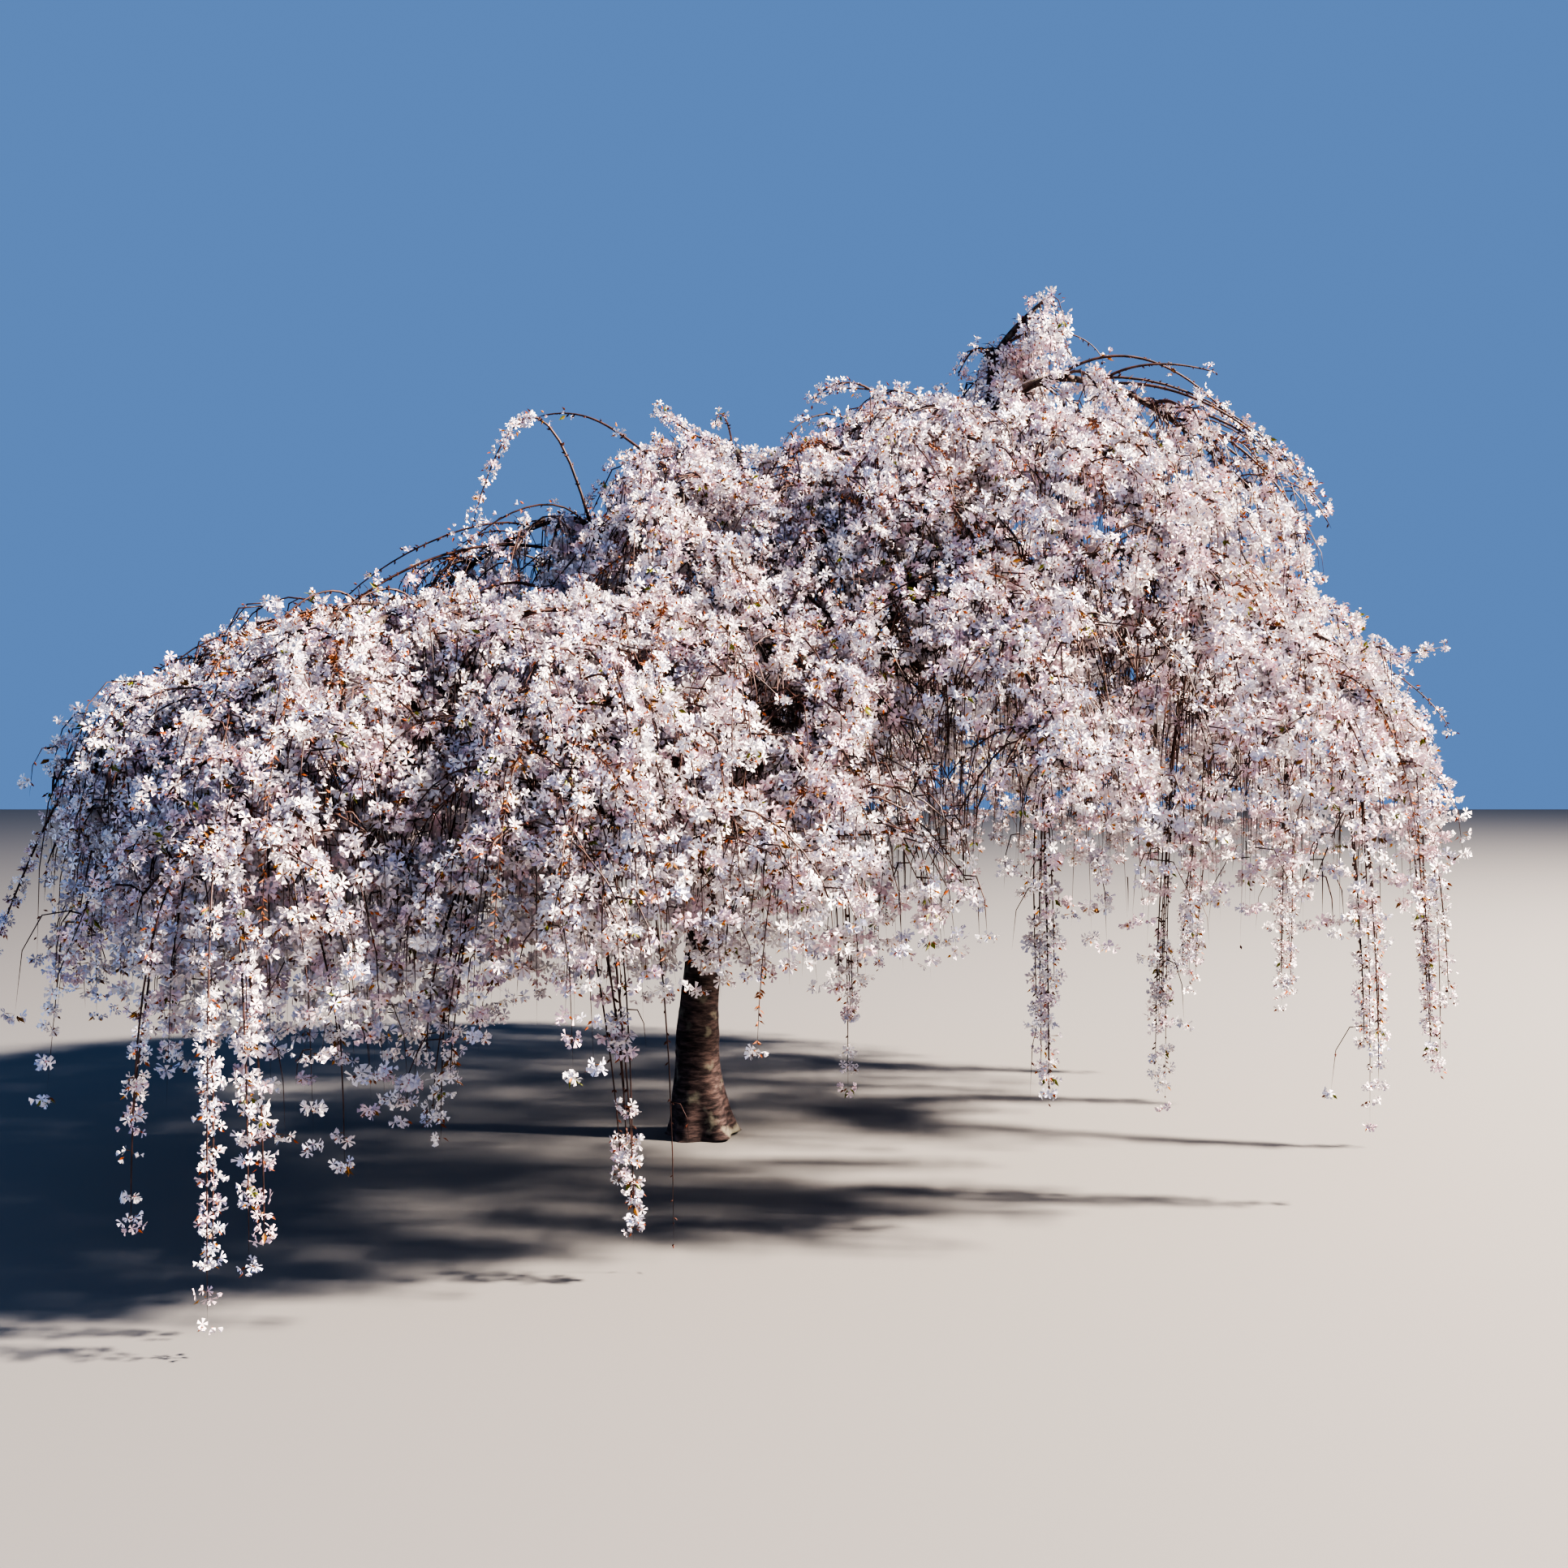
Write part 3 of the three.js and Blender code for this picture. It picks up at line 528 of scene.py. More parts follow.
# Finer hanging twigs for each one of the solids, and more of them in the masses that the photo shows thick.
FINE_TWIGS = 2
FULLER_MASSES = {
    "front_right": 6, "front_middle": 5, "front": 3, "left_front": 5, "left_middle": 4, "far_left": 3,
    "upper_right": 3, "upper_front": 3, "right_front": 4, "right": 4,
}
FINE_LEAN_SHARE = (0.0, 1.05)
FINE_RAGGEDNESS = 560
SIDE_TWIG_SPACING = 380
SIDE_TWIG_LENGTH = (110, 380)
SIDE_TWIG_PLACES = (0.12, 0.92)
SPUR_SPACING = 24
SPUR_LENGTH = (45, 150)
SPUR_PART_OF_LIMB = (0.3, 1)
# The corners of whips, side twigs and spurs, off their start by shares of their way out and of their height.
WHIP_SHAPE = ((0, 0), (0.5, 0.15), (1, -0.2), (1.1, -1))
SIDE_TWIG_SHAPE = ((0, 0), (0.25, 0.1), (0.42, -0.2), (0.42, -0.8))
SPUR_SHAPE = ((0, 0), (0.4, 0), (0.8, 0), (1, -0.25))
# The kinds of twigs: the radius of each at its foot, and the rings and sides of its tube.
TWIGS = {
    "hanging": (3.4, 5, 3), "inner": (3.8, 4, 3), "long": (4.4, 12, 4), "trailing": (4.4, 12, 4),
    "side": (2.6, 4, 3), "spur": (2.6, 3, 3), "spray": (4.4, 7, 3), "wand": (6.0, 12, 6),
    "spike": (6.0, 12, 6), "shoot": (4.5, 16, 5), "arch": (6.8, 24, 8), "whip": (3.0, 12, 4),
    "boughlet": (8.5, 9, 5),
}
TWIG_PIECES = {
    "hanging_twigs": ("hanging", "inner", "long", "trailing"),
    "arching_twigs": ("spray", "whip", "wand", "spike", "shoot", "arch", "boughlet"),
    "side_twigs": ("side", "spur"),
}
# The mass whose wand stands up straight and full of blossom.
SPIKE_MASS = "crown"
TWIG_TIP_SHARE = 0.4
YOUNG_BARK_COLOURS = ("#281a18", "#553a30")
YOUNG_BARK_STEPS = (0.35, 0.65)
YOUNG_BLOTCH_SIZE = 45
# The seed of the finer wood's chance.
WOOD_SEED = 20
# No tip comes nearer to the ground than this, and no twig leaves the box of the solids less the room's
# margin, or its own mass by more than its reach.
LOWEST_TIP = 60
# A direction that no twig goes in, so that it gives each one a side.
ASLANT = np.array([0.3, 0.2, 1.0])
ROOM_MARGIN = 20
REACH_MARGIN = 130
CROWN_MIDDLE = (300, 0)
# Sparse arching shoots that stand out of the crown: the mass each belongs to, where on its stem it starts,
# its tip and its rise. SHOOT_CRESTS are the shares of the way and of the rise at its two inner corners.
SHOOT_CRESTS = ((0.25, 1.5), (0.9, 1.3))
SHOOTS = [
    ("top", 0.25, (1700, 130, 3270), 110),
    ("top", 0.1, (1090, 150, 3270), 60),
    ("top", 0.2, (1560, 20, 3220), 120),
    ("upper_left", 0.1, (500, 120, 3120), 50),
    ("upper_left", 0.45, (330, -40, 2860), 110),
    ("crown", 0.12, (60, -180, 2930), 90),
    ("left_crown", 0.1, (-1080, -600, 2060), 220),
    ("left_crown", 0.35, (-1420, -620, 2080), 130),
    ("far_left", 0.3, (-1900, -760, 1760), 130),
    ("far_left", 0.55, (-2250, -860, 1500), 110),
    ("left_middle", 0.1, (-1500, -1250, 1840), 160),
    ("left_front", 0.1, (-1240, -1500, 1840), 150),
    ("right", 0.3, (2600, 300, 1980), 150),
    ("right", 0.6, (3000, 240, 1780), 110),
    ("right", 0.75, (3100, -80, 1700), 100),
    ("right_front", 0.2, (2200, -900, 1940), 180),
    ("middle_front", 0.2, (1100, -1200, 1940), 170),
    ("back", 0.2, (700, 1900, 1860), 180),
    ("back_left", 0.2, (-700, 1600, 1800), 180),
    ("back_right", 0.2, (1700, 1700, 1880), 180),
    ("left_back", 0.2, (-1560, 660, 1820), 180),
    ("right_back", 0.2, (2300, 1000, 1940), 180),
]
# Thicker bare arches that stand clear of the crown: the four corners of each one's curve. It starts at the
# place nearest to the first corner on a limb or stem.
ARCHES = [
    [(-470, -560, 2290), (-800, -650, 2540), (-1300, -750, 2300), (-1700, -800, 1700)],
    [(-640, -700, 2200), (-950, -780, 2320), (-1280, -850, 2050), (-1370, -880, 1660)],
    [(-500, -800, 2230), (-680, -880, 2380), (-900, -900, 2210), (-950, -920, 1760)],
    [(-900, -700, 2120), (-1250, -760, 2240), (-1560, -860, 1960), (-1760, -900, 1560)],
    [(-190, -560, 2520), (-250, -580, 2760), (-350, -600, 2960), (-600, -610, 2890)],
    [(1480, 50, 3150), (1800, 50, 3420), (2130, 50, 3180), (2340, 50, 2860)],
    [(1620, -60, 3080), (1800, -20, 3260), (2000, 0, 3240), (2150, 10, 3200)],
    [(1600, -80, 2980), (1980, -100, 3170), (2380, -100, 2950), (2600, -100, 2530)],
    [(1760, -180, 2820), (2080, -200, 2960), (2320, -200, 2800), (2480, -200, 2480)],
    [(60, -700, 2330), (330, -860, 2300), (620, -980, 2060), (760, -1080, 1720)],
    [(900, -640, 2420), (1180, -820, 2440), (1480, -980, 2180), (1640, -1060, 1800)],
    [(-180, -900, 2220), (-420, -1150, 2240), (-700, -1420, 1980), (-860, -1560, 1600)],
    [(1500, -520, 2420), (1850, -640, 2420), (2150, -760, 2180), (2330, -840, 1860)],
]


def seeded(seed):
    """Even random numbers from 0 to 1, the same on each run: each is the last one times a fixed factor,
    less whole turns of a prime."""
    state = seed * 7919 + 17

    def draw():
        """The next number."""
        nonlocal state
        state = (state * 16807) % 2147483647
        return state / 2147483647

    return draw


def stem_line(limb, end):
    """A stem leaves its limb's tip in the limb's own direction, and comes to its end drooping outward, or
    rising where that end is higher."""
    leave = limb.heading(1.0)
    foot, end = limb.at(1.0), np.array(end) * MM
    reach = np.linalg.norm(end - foot) * STEM_REACH_SHARE
    droop = unit((end - foot) * (1, 1, 0)) + UP * (1 if end[2] > foot[2] else -1)
    return Line(bent([foot, foot + leave * reach, end - unit(droop) * reach, end]))


def hanging(start, tip):
    """The corners of a hanging twig: it goes outward over a shoulder and comes down on its tip."""
    shoulder = mix(start, tip, SHOULDER_SHARE)
    shoulder[2] = start[2] + SHOULDER_RISE * MM
    elbow = tip.copy()
    elbow[2] = mix(start[2], tip[2], ELBOW_SHARE)
    return [start, shoulder, elbow, tip]


def curtain(stem, spread, skirt, count, lean, raggedness, first_seed):
    """Twigs that hang from a stem to either side in turn. Each leans aside by a share of the spread, which
    grows along the stem, runs on a little past its start, and ends near the skirt."""
    spread = spread * MM
    twigs = []
    for i in range(count):
        draw = seeded(first_seed + i)
        t = mix(STEM_BARE_SHARE, 1, (i + 0.5) / count)
        start = stem.at(t)
        flow = unit(stem.heading(t) * (1, 1, 0))
        side = np.cross(flow, UP) * (1 if i % 2 else -1)
        tip = start + side * spread * mix(SPREAD_AT_FOOT, 1, t) * mix(*lean, draw())
        tip = tip + flow * spread * mix(*ONWARD_SHARE, draw())
        tip[2] = min(start[2] - SHORTEST_DROP * MM, (skirt + raggedness * draw()) * MM)
        twigs.append(hanging(start, tip))
    return twigs


def long_twigs(tips, stem):
    """The longest twigs of a mass, each to a tip of its own from the place on the stem nearest in plan."""
    starts = stem.at(np.linspace(FIRST_LEAVING_PLACE, 1, LEAVING_PLACES))
    twigs = []
    for place in tips:
        tip = np.array(place) * MM
        apart = np.linalg.norm((starts - tip)[:, :2], axis=1)
        twigs.append(hanging(starts[apart.argmin()], tip))
    return twigs


def arching(rows, stem):
    """Arching shoots from a stem, each over a crest to its tip."""
    twigs = []
    for share, place, rise in rows:
        start, tip = stem.at(share), np.array(place) * MM
        crest = mix(start, tip, 0.5) + UP * rise * 2 * MM
        twigs.append([start, mix(start, crest, 2 / 3), mix(tip, crest, 2 / 3), tip])
    return twigs


def climbing(start, tip, rise):
    """The corners of a shoot that climbs over a rise and bends down to its tip."""
    inner = [mix(start, tip, share) + UP * rise * height * MM for share, height in SHOOT_CRESTS]
    return [start, *inner, tip]


def shaped(start, across, up, shape):
    """Curves of one shape: each corner lies off the start by a share of the way across and one of the way
    up."""
    return np.stack([start + across * aside + up * height for aside, height in shape], axis=1)


def arcs(start, flow, angles, reach, rises, drops, rng):
    """Thin arching wood to either side of its parent in turn: each leaves the parent's direction of travel by
    an angle, climbs by a share of its reach, and comes down another share of it below its start."""
    many = len(start)
    side = np.cross(flow, UP) * np.where(np.arange(many) % 2, 1, -1)[:, None]
    angle = np.radians(rng.uniform(*angles, (many, 1)))
    way = flow * np.cos(angle) + side * np.sin(angle)
    climb = UP * reach * rng.uniform(*rises, (many, 1))
    tip = start + way * reach - UP * reach * rng.uniform(*drops, (many, 1))
    shoulder = start + way * reach * ARC_SHOULDER_SHARE + climb
    elbow = tip - way * reach * ARC_ELBOW_SHARE + climb * ARC_ELBOW_CLIMB
    return np.stack([start, shoulder, elbow, tip], axis=1)


def boughlets(spread, limb, stem, rng):
    """Boughlets along the limb's outer part and the stem, each shorter the nearer it is to the stem's end."""
    carrier = Line(np.vstack([limb.at(np.linspace(BOUGHLET_START, 1, 12)), stem.points[1:]]))
    count = int(carrier.length / (BOUGHLET_SPACING * MM))
    share = (np.arange(count) + rng.uniform(*BOUGHLET_PLACES, count)) / count
    start, flow = carrier.at(share), unit(carrier.heading(share) * (1, 1, 0))
    reach = spread * MM * rng.uniform(*BOUGHLET_REACH, (count, 1))
    reach = reach * mix(1, BOUGHLET_END_SHARE, share[:, None])
    return arcs(start, flow, BOUGHLET_ANGLES, reach, BOUGHLET_RISE, BOUGHLET_DROP, rng)


def sprays(parents, rng):
    """Sprays along boughlets, at random shares of each."""
    owner = np.repeat(np.arange(len(parents)), SPRAYS_A_BOUGHLET)
    start, heading = on_curves(parents[owner], rng.uniform(*SPRAY_PLACES, len(owner)))
    flow = unit(heading * (1, 1, 0) + rng.normal(0, SPRAY_TURN, heading.shape) * (1, 1, 0))
    reach = rng.uniform(*SPRAY_REACH, (len(owner), 1)) * MM
    return arcs(start, flow, SPRAY_ANGLES, reach, SPRAY_RISE, SPRAY_DROP, rng)


def hanging_from(parents, skirt, rng):
    """Twigs that hang from boughlets and sprays: each goes a little outward and comes down part of the way,
    or all of it, to the skirt. Gives the flowering ones, and the shorter bare ones of the shade."""
    _, owner = spaced(parents, BOUGHLET_TWIG_SPACING)
    start, flow = on_curves(parents[owner], rng.uniform(*BOUGHLET_TWIG_PLACES, len(owner)))
    out = unit(flow * (1, 1, 0) + rng.normal(0, BOUGHLET_TWIG_TURN, start.shape) * (1, 1, 0))
    low = skirt * MM + rng.uniform(0, FINE_RAGGEDNESS * MM, len(owner))
    drop = (start[:, 2] - low) * rng.uniform(*BOUGHLET_TWIG_SHARE, len(owner))
    inner = rng.uniform(size=len(owner)) < INNER_SHARE
    drop = drop * np.where(inner, rng.uniform(*INNER_DROP_SHARE, len(owner)), 1)
    drop = np.maximum(drop, SHORTEST_DROP * MM)[:, None]
    slant = out * rng.uniform(*TWIG_SLANT, (len(owner), 1)) * np.minimum(drop, LONGEST_SLANTING_DROP)
    tip = start + slant - UP * drop
    shoulder = mix(start, tip, SHOULDER_SHARE) * (1, 1, 0) + UP * (start[:, 2:] + SHOULDER_RISE * MM)
    elbow = tip + UP * drop * (1 - ELBOW_SHARE)
    corners = np.stack([start, shoulder, elbow, tip], axis=1)
    return corners[~inner], corners[inner]


def companions(parents, rng):
    """Finer twigs that leave each long twig part of the way down and hang close beside it, so that their
    blossom and its own make one thick tassel."""
    owner = np.repeat(np.arange(len(parents)), COMPANIONS)
    start, _ = on_curves(parents[owner], rng.uniform(*COMPANION_START, len(owner)))
    angle = rng.uniform(0, 2 * np.pi, len(owner))
    aside = level_way(angle) * COMPANION_APART * MM
    tip = parents[owner, 3] + aside + UP * rng.uniform(*COMPANION_RAISE, (len(owner), 1)) * MM
    tip[:, 2] = np.minimum(tip[:, 2], start[:, 2] - SHORTEST_DROP * MM)
    shoulder = mix(start, tip, COMPANION_BENDS[0]) + aside
    elbow = mix(start, tip, COMPANION_BENDS[1]) * (0, 0, 1) + tip * (1, 1, 0)
    return np.stack([start, shoulder, elbow, tip], axis=1)


def whips(stem, rng):
    """Long bare whips that leave a stem outward, away from the middle of the crown, and hang over the
    blossom: each goes out by its reach and down by its drop."""
    start = stem.at(rng.uniform(*WHIP_PLACES, WHIPS))
    angle = np.arctan2(start[:, 1] - CROWN_MIDDLE[1] * MM, start[:, 0] - CROWN_MIDDLE[0] * MM)
    angle = angle + rng.uniform(-WHIP_TURN, WHIP_TURN, WHIPS)
    way = level_way(angle) * (rng.uniform(*WHIP_REACH, (WHIPS, 1)) * MM)
    return shaped(start, way, UP * rng.uniform(*WHIP_DROP, (WHIPS, 1)) * MM, WHIP_SHAPE)


def on_curves(corners, share):
    """The places on cubic curves, a row of corners each, at shares of their parameter, and the headings
    there: the corners weighed by the four Bernstein terms, and by their slopes."""
    t = share[..., None]
    a, b, c, d = (corners[..., k, :] for k in range(4))
    if t.ndim == 3:
        a, b, c, d = (corner[:, None] for corner in (a, b, c, d))
    place = (1 - t) ** 3 * a + 3 * t * (1 - t) ** 2 * b + 3 * t**2 * (1 - t) * c + t**3 * d
    slope = (1 - t) ** 2 * (b - a) + 2 * t * (1 - t) * (c - b) + t**2 * (d - c)
    return place, unit(slope)


def lengths(corners):
    """The length of each cubic curve, along ten straight steps."""
    share = np.broadcast_to(np.linspace(0, 1, 11), (len(corners), 11))
    return np.linalg.norm(np.diff(on_curves(corners, share)[0], axis=1), axis=2).sum(axis=1)


def spaced(parents, spacing):
    """How many things a spacing apart each twig bears, one at least, and which twig each of them is on."""
    counts = np.maximum(1, lengths(parents) / (spacing * MM)).astype(int)
    return counts, np.repeat(np.arange(len(parents)), counts)


def level_way(angle):
    """The level direction at an angle round from the right: its cosine and its sine."""
    return np.stack([np.cos(angle), np.sin(angle), 0 * angle], axis=-1)


def side_twigs(parents, rng):
    """Side twigs along hanging ones: each bows out to a random side and hangs beside its parent, and is as
    long as chance gives, with no tip near the ground."""
    _, owner = spaced(parents, SIDE_TWIG_SPACING)
    start, _ = on_curves(parents[owner], rng.uniform(*SIDE_TWIG_PLACES, len(owner)))
    out = level_way(rng.uniform(0, 2 * np.pi, len(owner)))
    size = rng.uniform(*SIDE_TWIG_LENGTH, (len(owner), 1)) * MM
    made = shaped(start, out * size, UP * size, SIDE_TWIG_SHAPE)
    return made[made[:, 3, 2] > LOWEST_TIP * MM]


def spurs(line, shares, rng):
    """Short flowering spurs all round a stem or limb: each leaves it square and bends a little down."""
    count = max(2, int(line.length * (shares[1] - shares[0]) / (SPUR_SPACING * MM)))
    share = rng.uniform(*shares, count)
    start, along = line.at(share), line.heading(share)
    out = unit(np.cross(along, rng.normal(size=(count, 3))))
    size = rng.uniform(*SPUR_LENGTH, (count, 1)) * MM
    return shaped(start, out * size, UP * size, SPUR_SHAPE)


def tubes(corners, radius, rings, sides):
    """Thin closed tubes along cubic curves, all at once: rings of points round each, from a closed foot to a
    pointed tip."""
    many = len(corners)
    place, along = on_curves(corners, np.broadcast_to(np.linspace(0, 1, rings), (many, rings)))
    level = unit(np.cross(ASLANT, along))
    over = np.cross(along, level)
    angle = np.arange(sides) * 2 * np.pi / sides
    taper = (mix(1, TWIG_TIP_SHARE, np.linspace(0, 1, rings)) * radius * MM)[None, :, None, None]
    ring = level[:, :, None] * np.cos(angle)[:, None] + over[:, :, None] * np.sin(angle)[:, None]
    points = place[:, :, None] + taper * ring
    points[:, -1] = place[:, -1, None]
    corner = np.arange(rings * sides).reshape(rings, sides)
    after = np.roll(corner, -1, axis=1)
    walls = np.stack([corner[:-2], after[:-2], after[1:-1], corner[1:-1]], axis=-1).reshape(-1, 4)
    cone = np.stack([corner[-2], after[-2], np.broadcast_to(corner[-1, :1], (sides,))], axis=-1)
    foot = corner[0][::-1][None, :]
    starts = (np.arange(many) * rings * sides)[:, None, None]
    faces = [(face[None] + starts).reshape(-1, face.shape[1]) for face in (walls, cone, foot)]
    return {"points": points.reshape(-1, 3), "faces": faces}


def in_room(corners, stem):
    """The twigs that keep to their mass's room: every place on each lies inside the box of the solids, clear
    of the ground, and at most a margin further out, the way the stem goes, than the stem's end."""
    share = np.broadcast_to(np.linspace(0, 1, 9), (len(corners), 9))
    places = on_curves(corners, share)[0]
    low, high = (np.array(corner) for corner in cad_box)
    low, high = low + ROOM_MARGIN * MM, high - ROOM_MARGIN * MM
    low[2] = LOWEST_TIP * MM
    inside = ((places > low) & (places < high)).all(axis=(1, 2))
    onward = unit((stem.at(1.0) - stem.at(0.0)) * (1, 1, 0))
    return corners[inside & ((places - stem.at(1.0)) @ onward < REACH_MARGIN * MM).all(axis=1)]


def snapped(corners, lines):
    """Curves whose first corner is moved to the nearest kept point of any line."""
    points = np.concatenate([line.points for line in lines])
    apart = np.linalg.norm(corners[:, None, 0] - points[None], axis=2)
    corners[:, 0] = points[apart.argmin(axis=1)]
    return corners


stem_lines = {}
stem_rods = []
grown = {kind: [] for kind in TWIGS}
chance = np.random.default_rng(WOOD_SEED)
for number, (name, (end, spread, skirt, twig_count)) in enumerate(MASSES.items()):
    carrier = OTHER_LIMBS.get(name, f"limb_{name}")
    limb = limb_lines[carrier]
    stem = stem_line(limb, end)
    stem_lines[name] = stem
    radii = tapered(stem, (tip_radii[carrier], STEM_TIP_RADIUS), 0)
    relief = bark_relief(BARK_SEEDS["stem"] + number, STEM_RELIEF)
    stem_rods.append(rod(stem, radii, STEM_SIDES, number, relief))
    seed = MASS_SEEDS * (number + 1)
    twigs = curtain(stem, spread, skirt, twig_count, LEAN_SHARE, SKIRT_RAGGEDNESS, seed + 1)
    finer = twig_count * FULLER_MASSES.get(name, FINE_TWIGS)
    twigs += curtain(stem, spread, skirt, finer, FINE_LEAN_SHARE, FINE_RAGGEDNESS, seed + FINER_SEEDS)
    grown["hanging"].append(np.array(twigs))
    long_ones = long_twigs(LONG_TIPS.get(name, ()), stem)
    if long_ones:
        kind = "trailing" if name in TRAILING_MASSES else "long"
        ropes = np.array(long_ones)
        beside = companions(ropes[ropes[:, 3, 2] > COMPANION_LOWEST * MM], chance)
        grown[kind] += [ropes, beside[:: COMPANIONS if kind == "trailing" else 1]]
    wands = arching(WANDS.get(name, ()), stem)
    if wands:
        grown["spike" if name == SPIKE_MASS else "wand"].append(np.array(wands))
    shoots = [
        climbing(stem.at(at), np.array(tip) * MM, rise) for mass, at, tip, rise in SHOOTS if mass == name
    ]
    if shoots:
        grown["shoot"].append(np.array(shoots))
    branching = in_room(boughlets(spread, limb, stem, chance), stem)
    sprayed = in_room(sprays(branching, chance), stem)
    fringe, inner = hanging_from(np.concatenate([branching, sprayed]), skirt, chance)
    fringe = in_room(fringe, stem)
    bearing = np.concatenate([np.array(twigs + long_ones), fringe, branching])
    grown["boughlet"].append(branching)
    grown["spray"].append(sprayed)
    grown["hanging"].append(fringe)
    grown["inner"].append(in_room(inner, stem))
    grown["side"].append(in_room(side_twigs(bearing, chance), stem))
    grown["whip"].append(in_room(whips(stem, chance), stem))
    grown["spur"] += [spurs(stem, (0, 1), chance), spurs(limb, SPUR_PART_OF_LIMB, chance)]
carriers = [line for name, line in limb_lines.items() if name != "trunk"] + list(stem_lines.values())
grown["arch"].append(snapped(np.array(ARCHES) * MM, carriers))
grown = {kind: np.concatenate(rows) for kind, rows in grown.items()}


def young_bark():
    """Young cherry bark: smooth and a little glossy, red-brown, greyer where last year's skin still holds."""
    material, shader = new_material("young_cherry_bark", roughness=0.55, ior=1.45)
    place = add_node(material, "ShaderNodeTexCoord").outputs["Object"]
    blotches = noise(material, place, 1 / (YOUNG_BLOTCH_SIZE * MM), detail=2.0)
    colour = ramp(material, blotches, zip(YOUNG_BARK_STEPS, YOUNG_BARK_COLOURS))
    material.node_tree.links.new(colour.outputs["Color"], shader.inputs["Base Color"])
    return material


twig_bark = young_bark()
add_piece("stem_bark", stem_rods, bark, BLOSSOM_NODES)
for name, kinds in TWIG_PIECES.items():
    add_piece(name, [tubes(grown[kind], *TWIGS[kind]) for kind in kinds], twig_bark, BLOSSOM_NODES)

# The blossom: single white flowers of five petals, in clusters that open from each bud along the twigs,
# most where light reaches them. Some are still half open. A petal is thin, cupped and matt, white with a
# breath of pink, and petals are dealt into shades by cluster.
STALK_LENGTH = (12, 33)
STALK_ALONG = (-0.4, 0.7)
STALK_DROOP = 0.2
FACE_SCATTER = 0.4
# How far apart the buds of each kind of twig are, and where each lies in its stretch.
CLUSTER_SPACING = {
    "hanging": 56, "inner": 90, "long": 38, "trailing": 34, "side": 52, "spur": 60, "spray": 52, "wand": 32,
    "spike": 17, "shoot": 52, "arch": 80, "whip": 60, "boughlet": 50,
}
BUD_PLACES = (0.2, 1.2)
# Fewest and most flowers from a bud, and from one on a bare arch.
FLOWERS_A_CLUSTER = (5, 7)
FLOWERS_ON_ARCHES = (1, 3)
# Flowers are smaller on long single twigs, and grow larger between these depths in the shade of the crown, so
# that fewer fill it.
FLOWER_RADIUS = (17, 22)
ROPE_FLOWER_SHARE = 0.83
SHADE_GROWTH = 1.35
SHADE_DEPTHS = (90, 220)
# The shares of flowers that are wide open with folded petals, open with flat ones, and half open.
OPENNESS = {"wide": 0.05, "flat": 0.58, "half": 0.37}
PETALS = 5
PETAL_TURN_SCATTER = 0.1
PETAL_CUP = (0.0, 0.6)
PETAL_CUP_SCATTER = 0.13
WIDE_PETAL_LENGTH = (0.86, 1.1)
WIDE_PETAL_HALF_WIDTH = (0.26, 0.35)
FLAT_PETAL_LENGTH = (0.82, 1.04)
HALF_PETAL_LENGTH = (0.75, 0.95)
HALF_PETAL_LEAN = (0.35, 0.7)
HALF_PETAL_RISE = 0.75
# The tip and the belly of a folded petal, in shares of its length, how much of the lift the belly has, and
# how high its fold stands.
PETAL_TIP = 1.02
PETAL_BELLY = 0.66
PETAL_BELLY_LIFT = 0.55
PETAL_FOLD = 0.12
LIP_SHARE = 0.32
LIP_SKEW = 0.2
# The faces of one triangle, and of one kite of two, by their corners.
TRIANGLE = [(0, 1, 2)]
KITE = [(0, 1, 2), (0, 2, 3)]
PETAL_SHADES = {"white": "#e2dedd", "milk": "#ddd4d5", "blush": "#dac5ca", "pearl": "#cbcbd8"}
PETAL_SHARES = (0.34, 0.30, 0.20, 0.16)
# The seeds of the blossom's chance and of its gaps.
BLOOM_SEED = 7
GAP_SEED = 5
# Petals of one shade and form are shared among pieces that have no more faces than this.
MOST_FACES = 195000
# The share of the twigs of each kind that flower: the rest are bare but for a few buds.
FLOWERING = {
    "hanging": 0.9, "inner": 0.1, "long": 1.0, "trailing": 1.0, "side": 0.5, "spur": 0.8, "spray": 0.75,
    "wand": 1.0, "spike": 1.0, "shoot": 0.8, "arch": 1.0, "whip": 0.0, "boughlet": 0.8,
}
# Twigs whose blossom comes in tufts with bare wood between: how much of its spacing a tuft takes on each
# kind, and how long a tuft and its gap are together. A wave of this height, speed and turn makes them uneven.
TUFTED = {"long": 0.84, "trailing": 0.8, "wand": 0.95, "shoot": 0.6, "arch": 0.45}
TUFT_SPACING = 210
TUFT_WAVE = (0.3, 2.3, 6)
# The share of a wand, from its foot, that is bare.
WAND_BARE_SHARE = 0.42
# Gaps in the blossom, where wood in shade shows: about how wide, and how low a lump of chance makes one.
GAP_SIZES = {110: 1.0, 340: 0.5}
GAP_TALLNESS = 1.7
GAP_LEVEL = -0.42
# Places that the photo shows full of blossom, where chance makes few gaps: the middle of each, its size each
# way from there, and the lower level that makes a gap there.
FULL_PLACES = [
    ((300, -1750, 1250), (700, 800, 440), -0.8),
    ((450, -1050, 2200), (600, 800, 400), -0.8),
    ((2000, -500, 1900), (1000, 1100, 700), -0.8),
    ((-1350, -1600, 1350), (1000, 1000, 750), -0.56),
    ((-470, -600, 2380), (190, 500, 210), -0.9),
    ((1320, 95, 3330), (250, 250, 220), -0.8),
    ((1250, -300, 2750), (500, 700, 350), -0.8),
]
# Single twigs that stand clear of the rest, so that no gap of the crown runs through them, and the bare ones
# among them, whose buds have few flowers.
ROPES = ("long", "trailing", "wand", "spike", "shoot", "arch")
BARE_ARCHES = ("shoot", "arch")
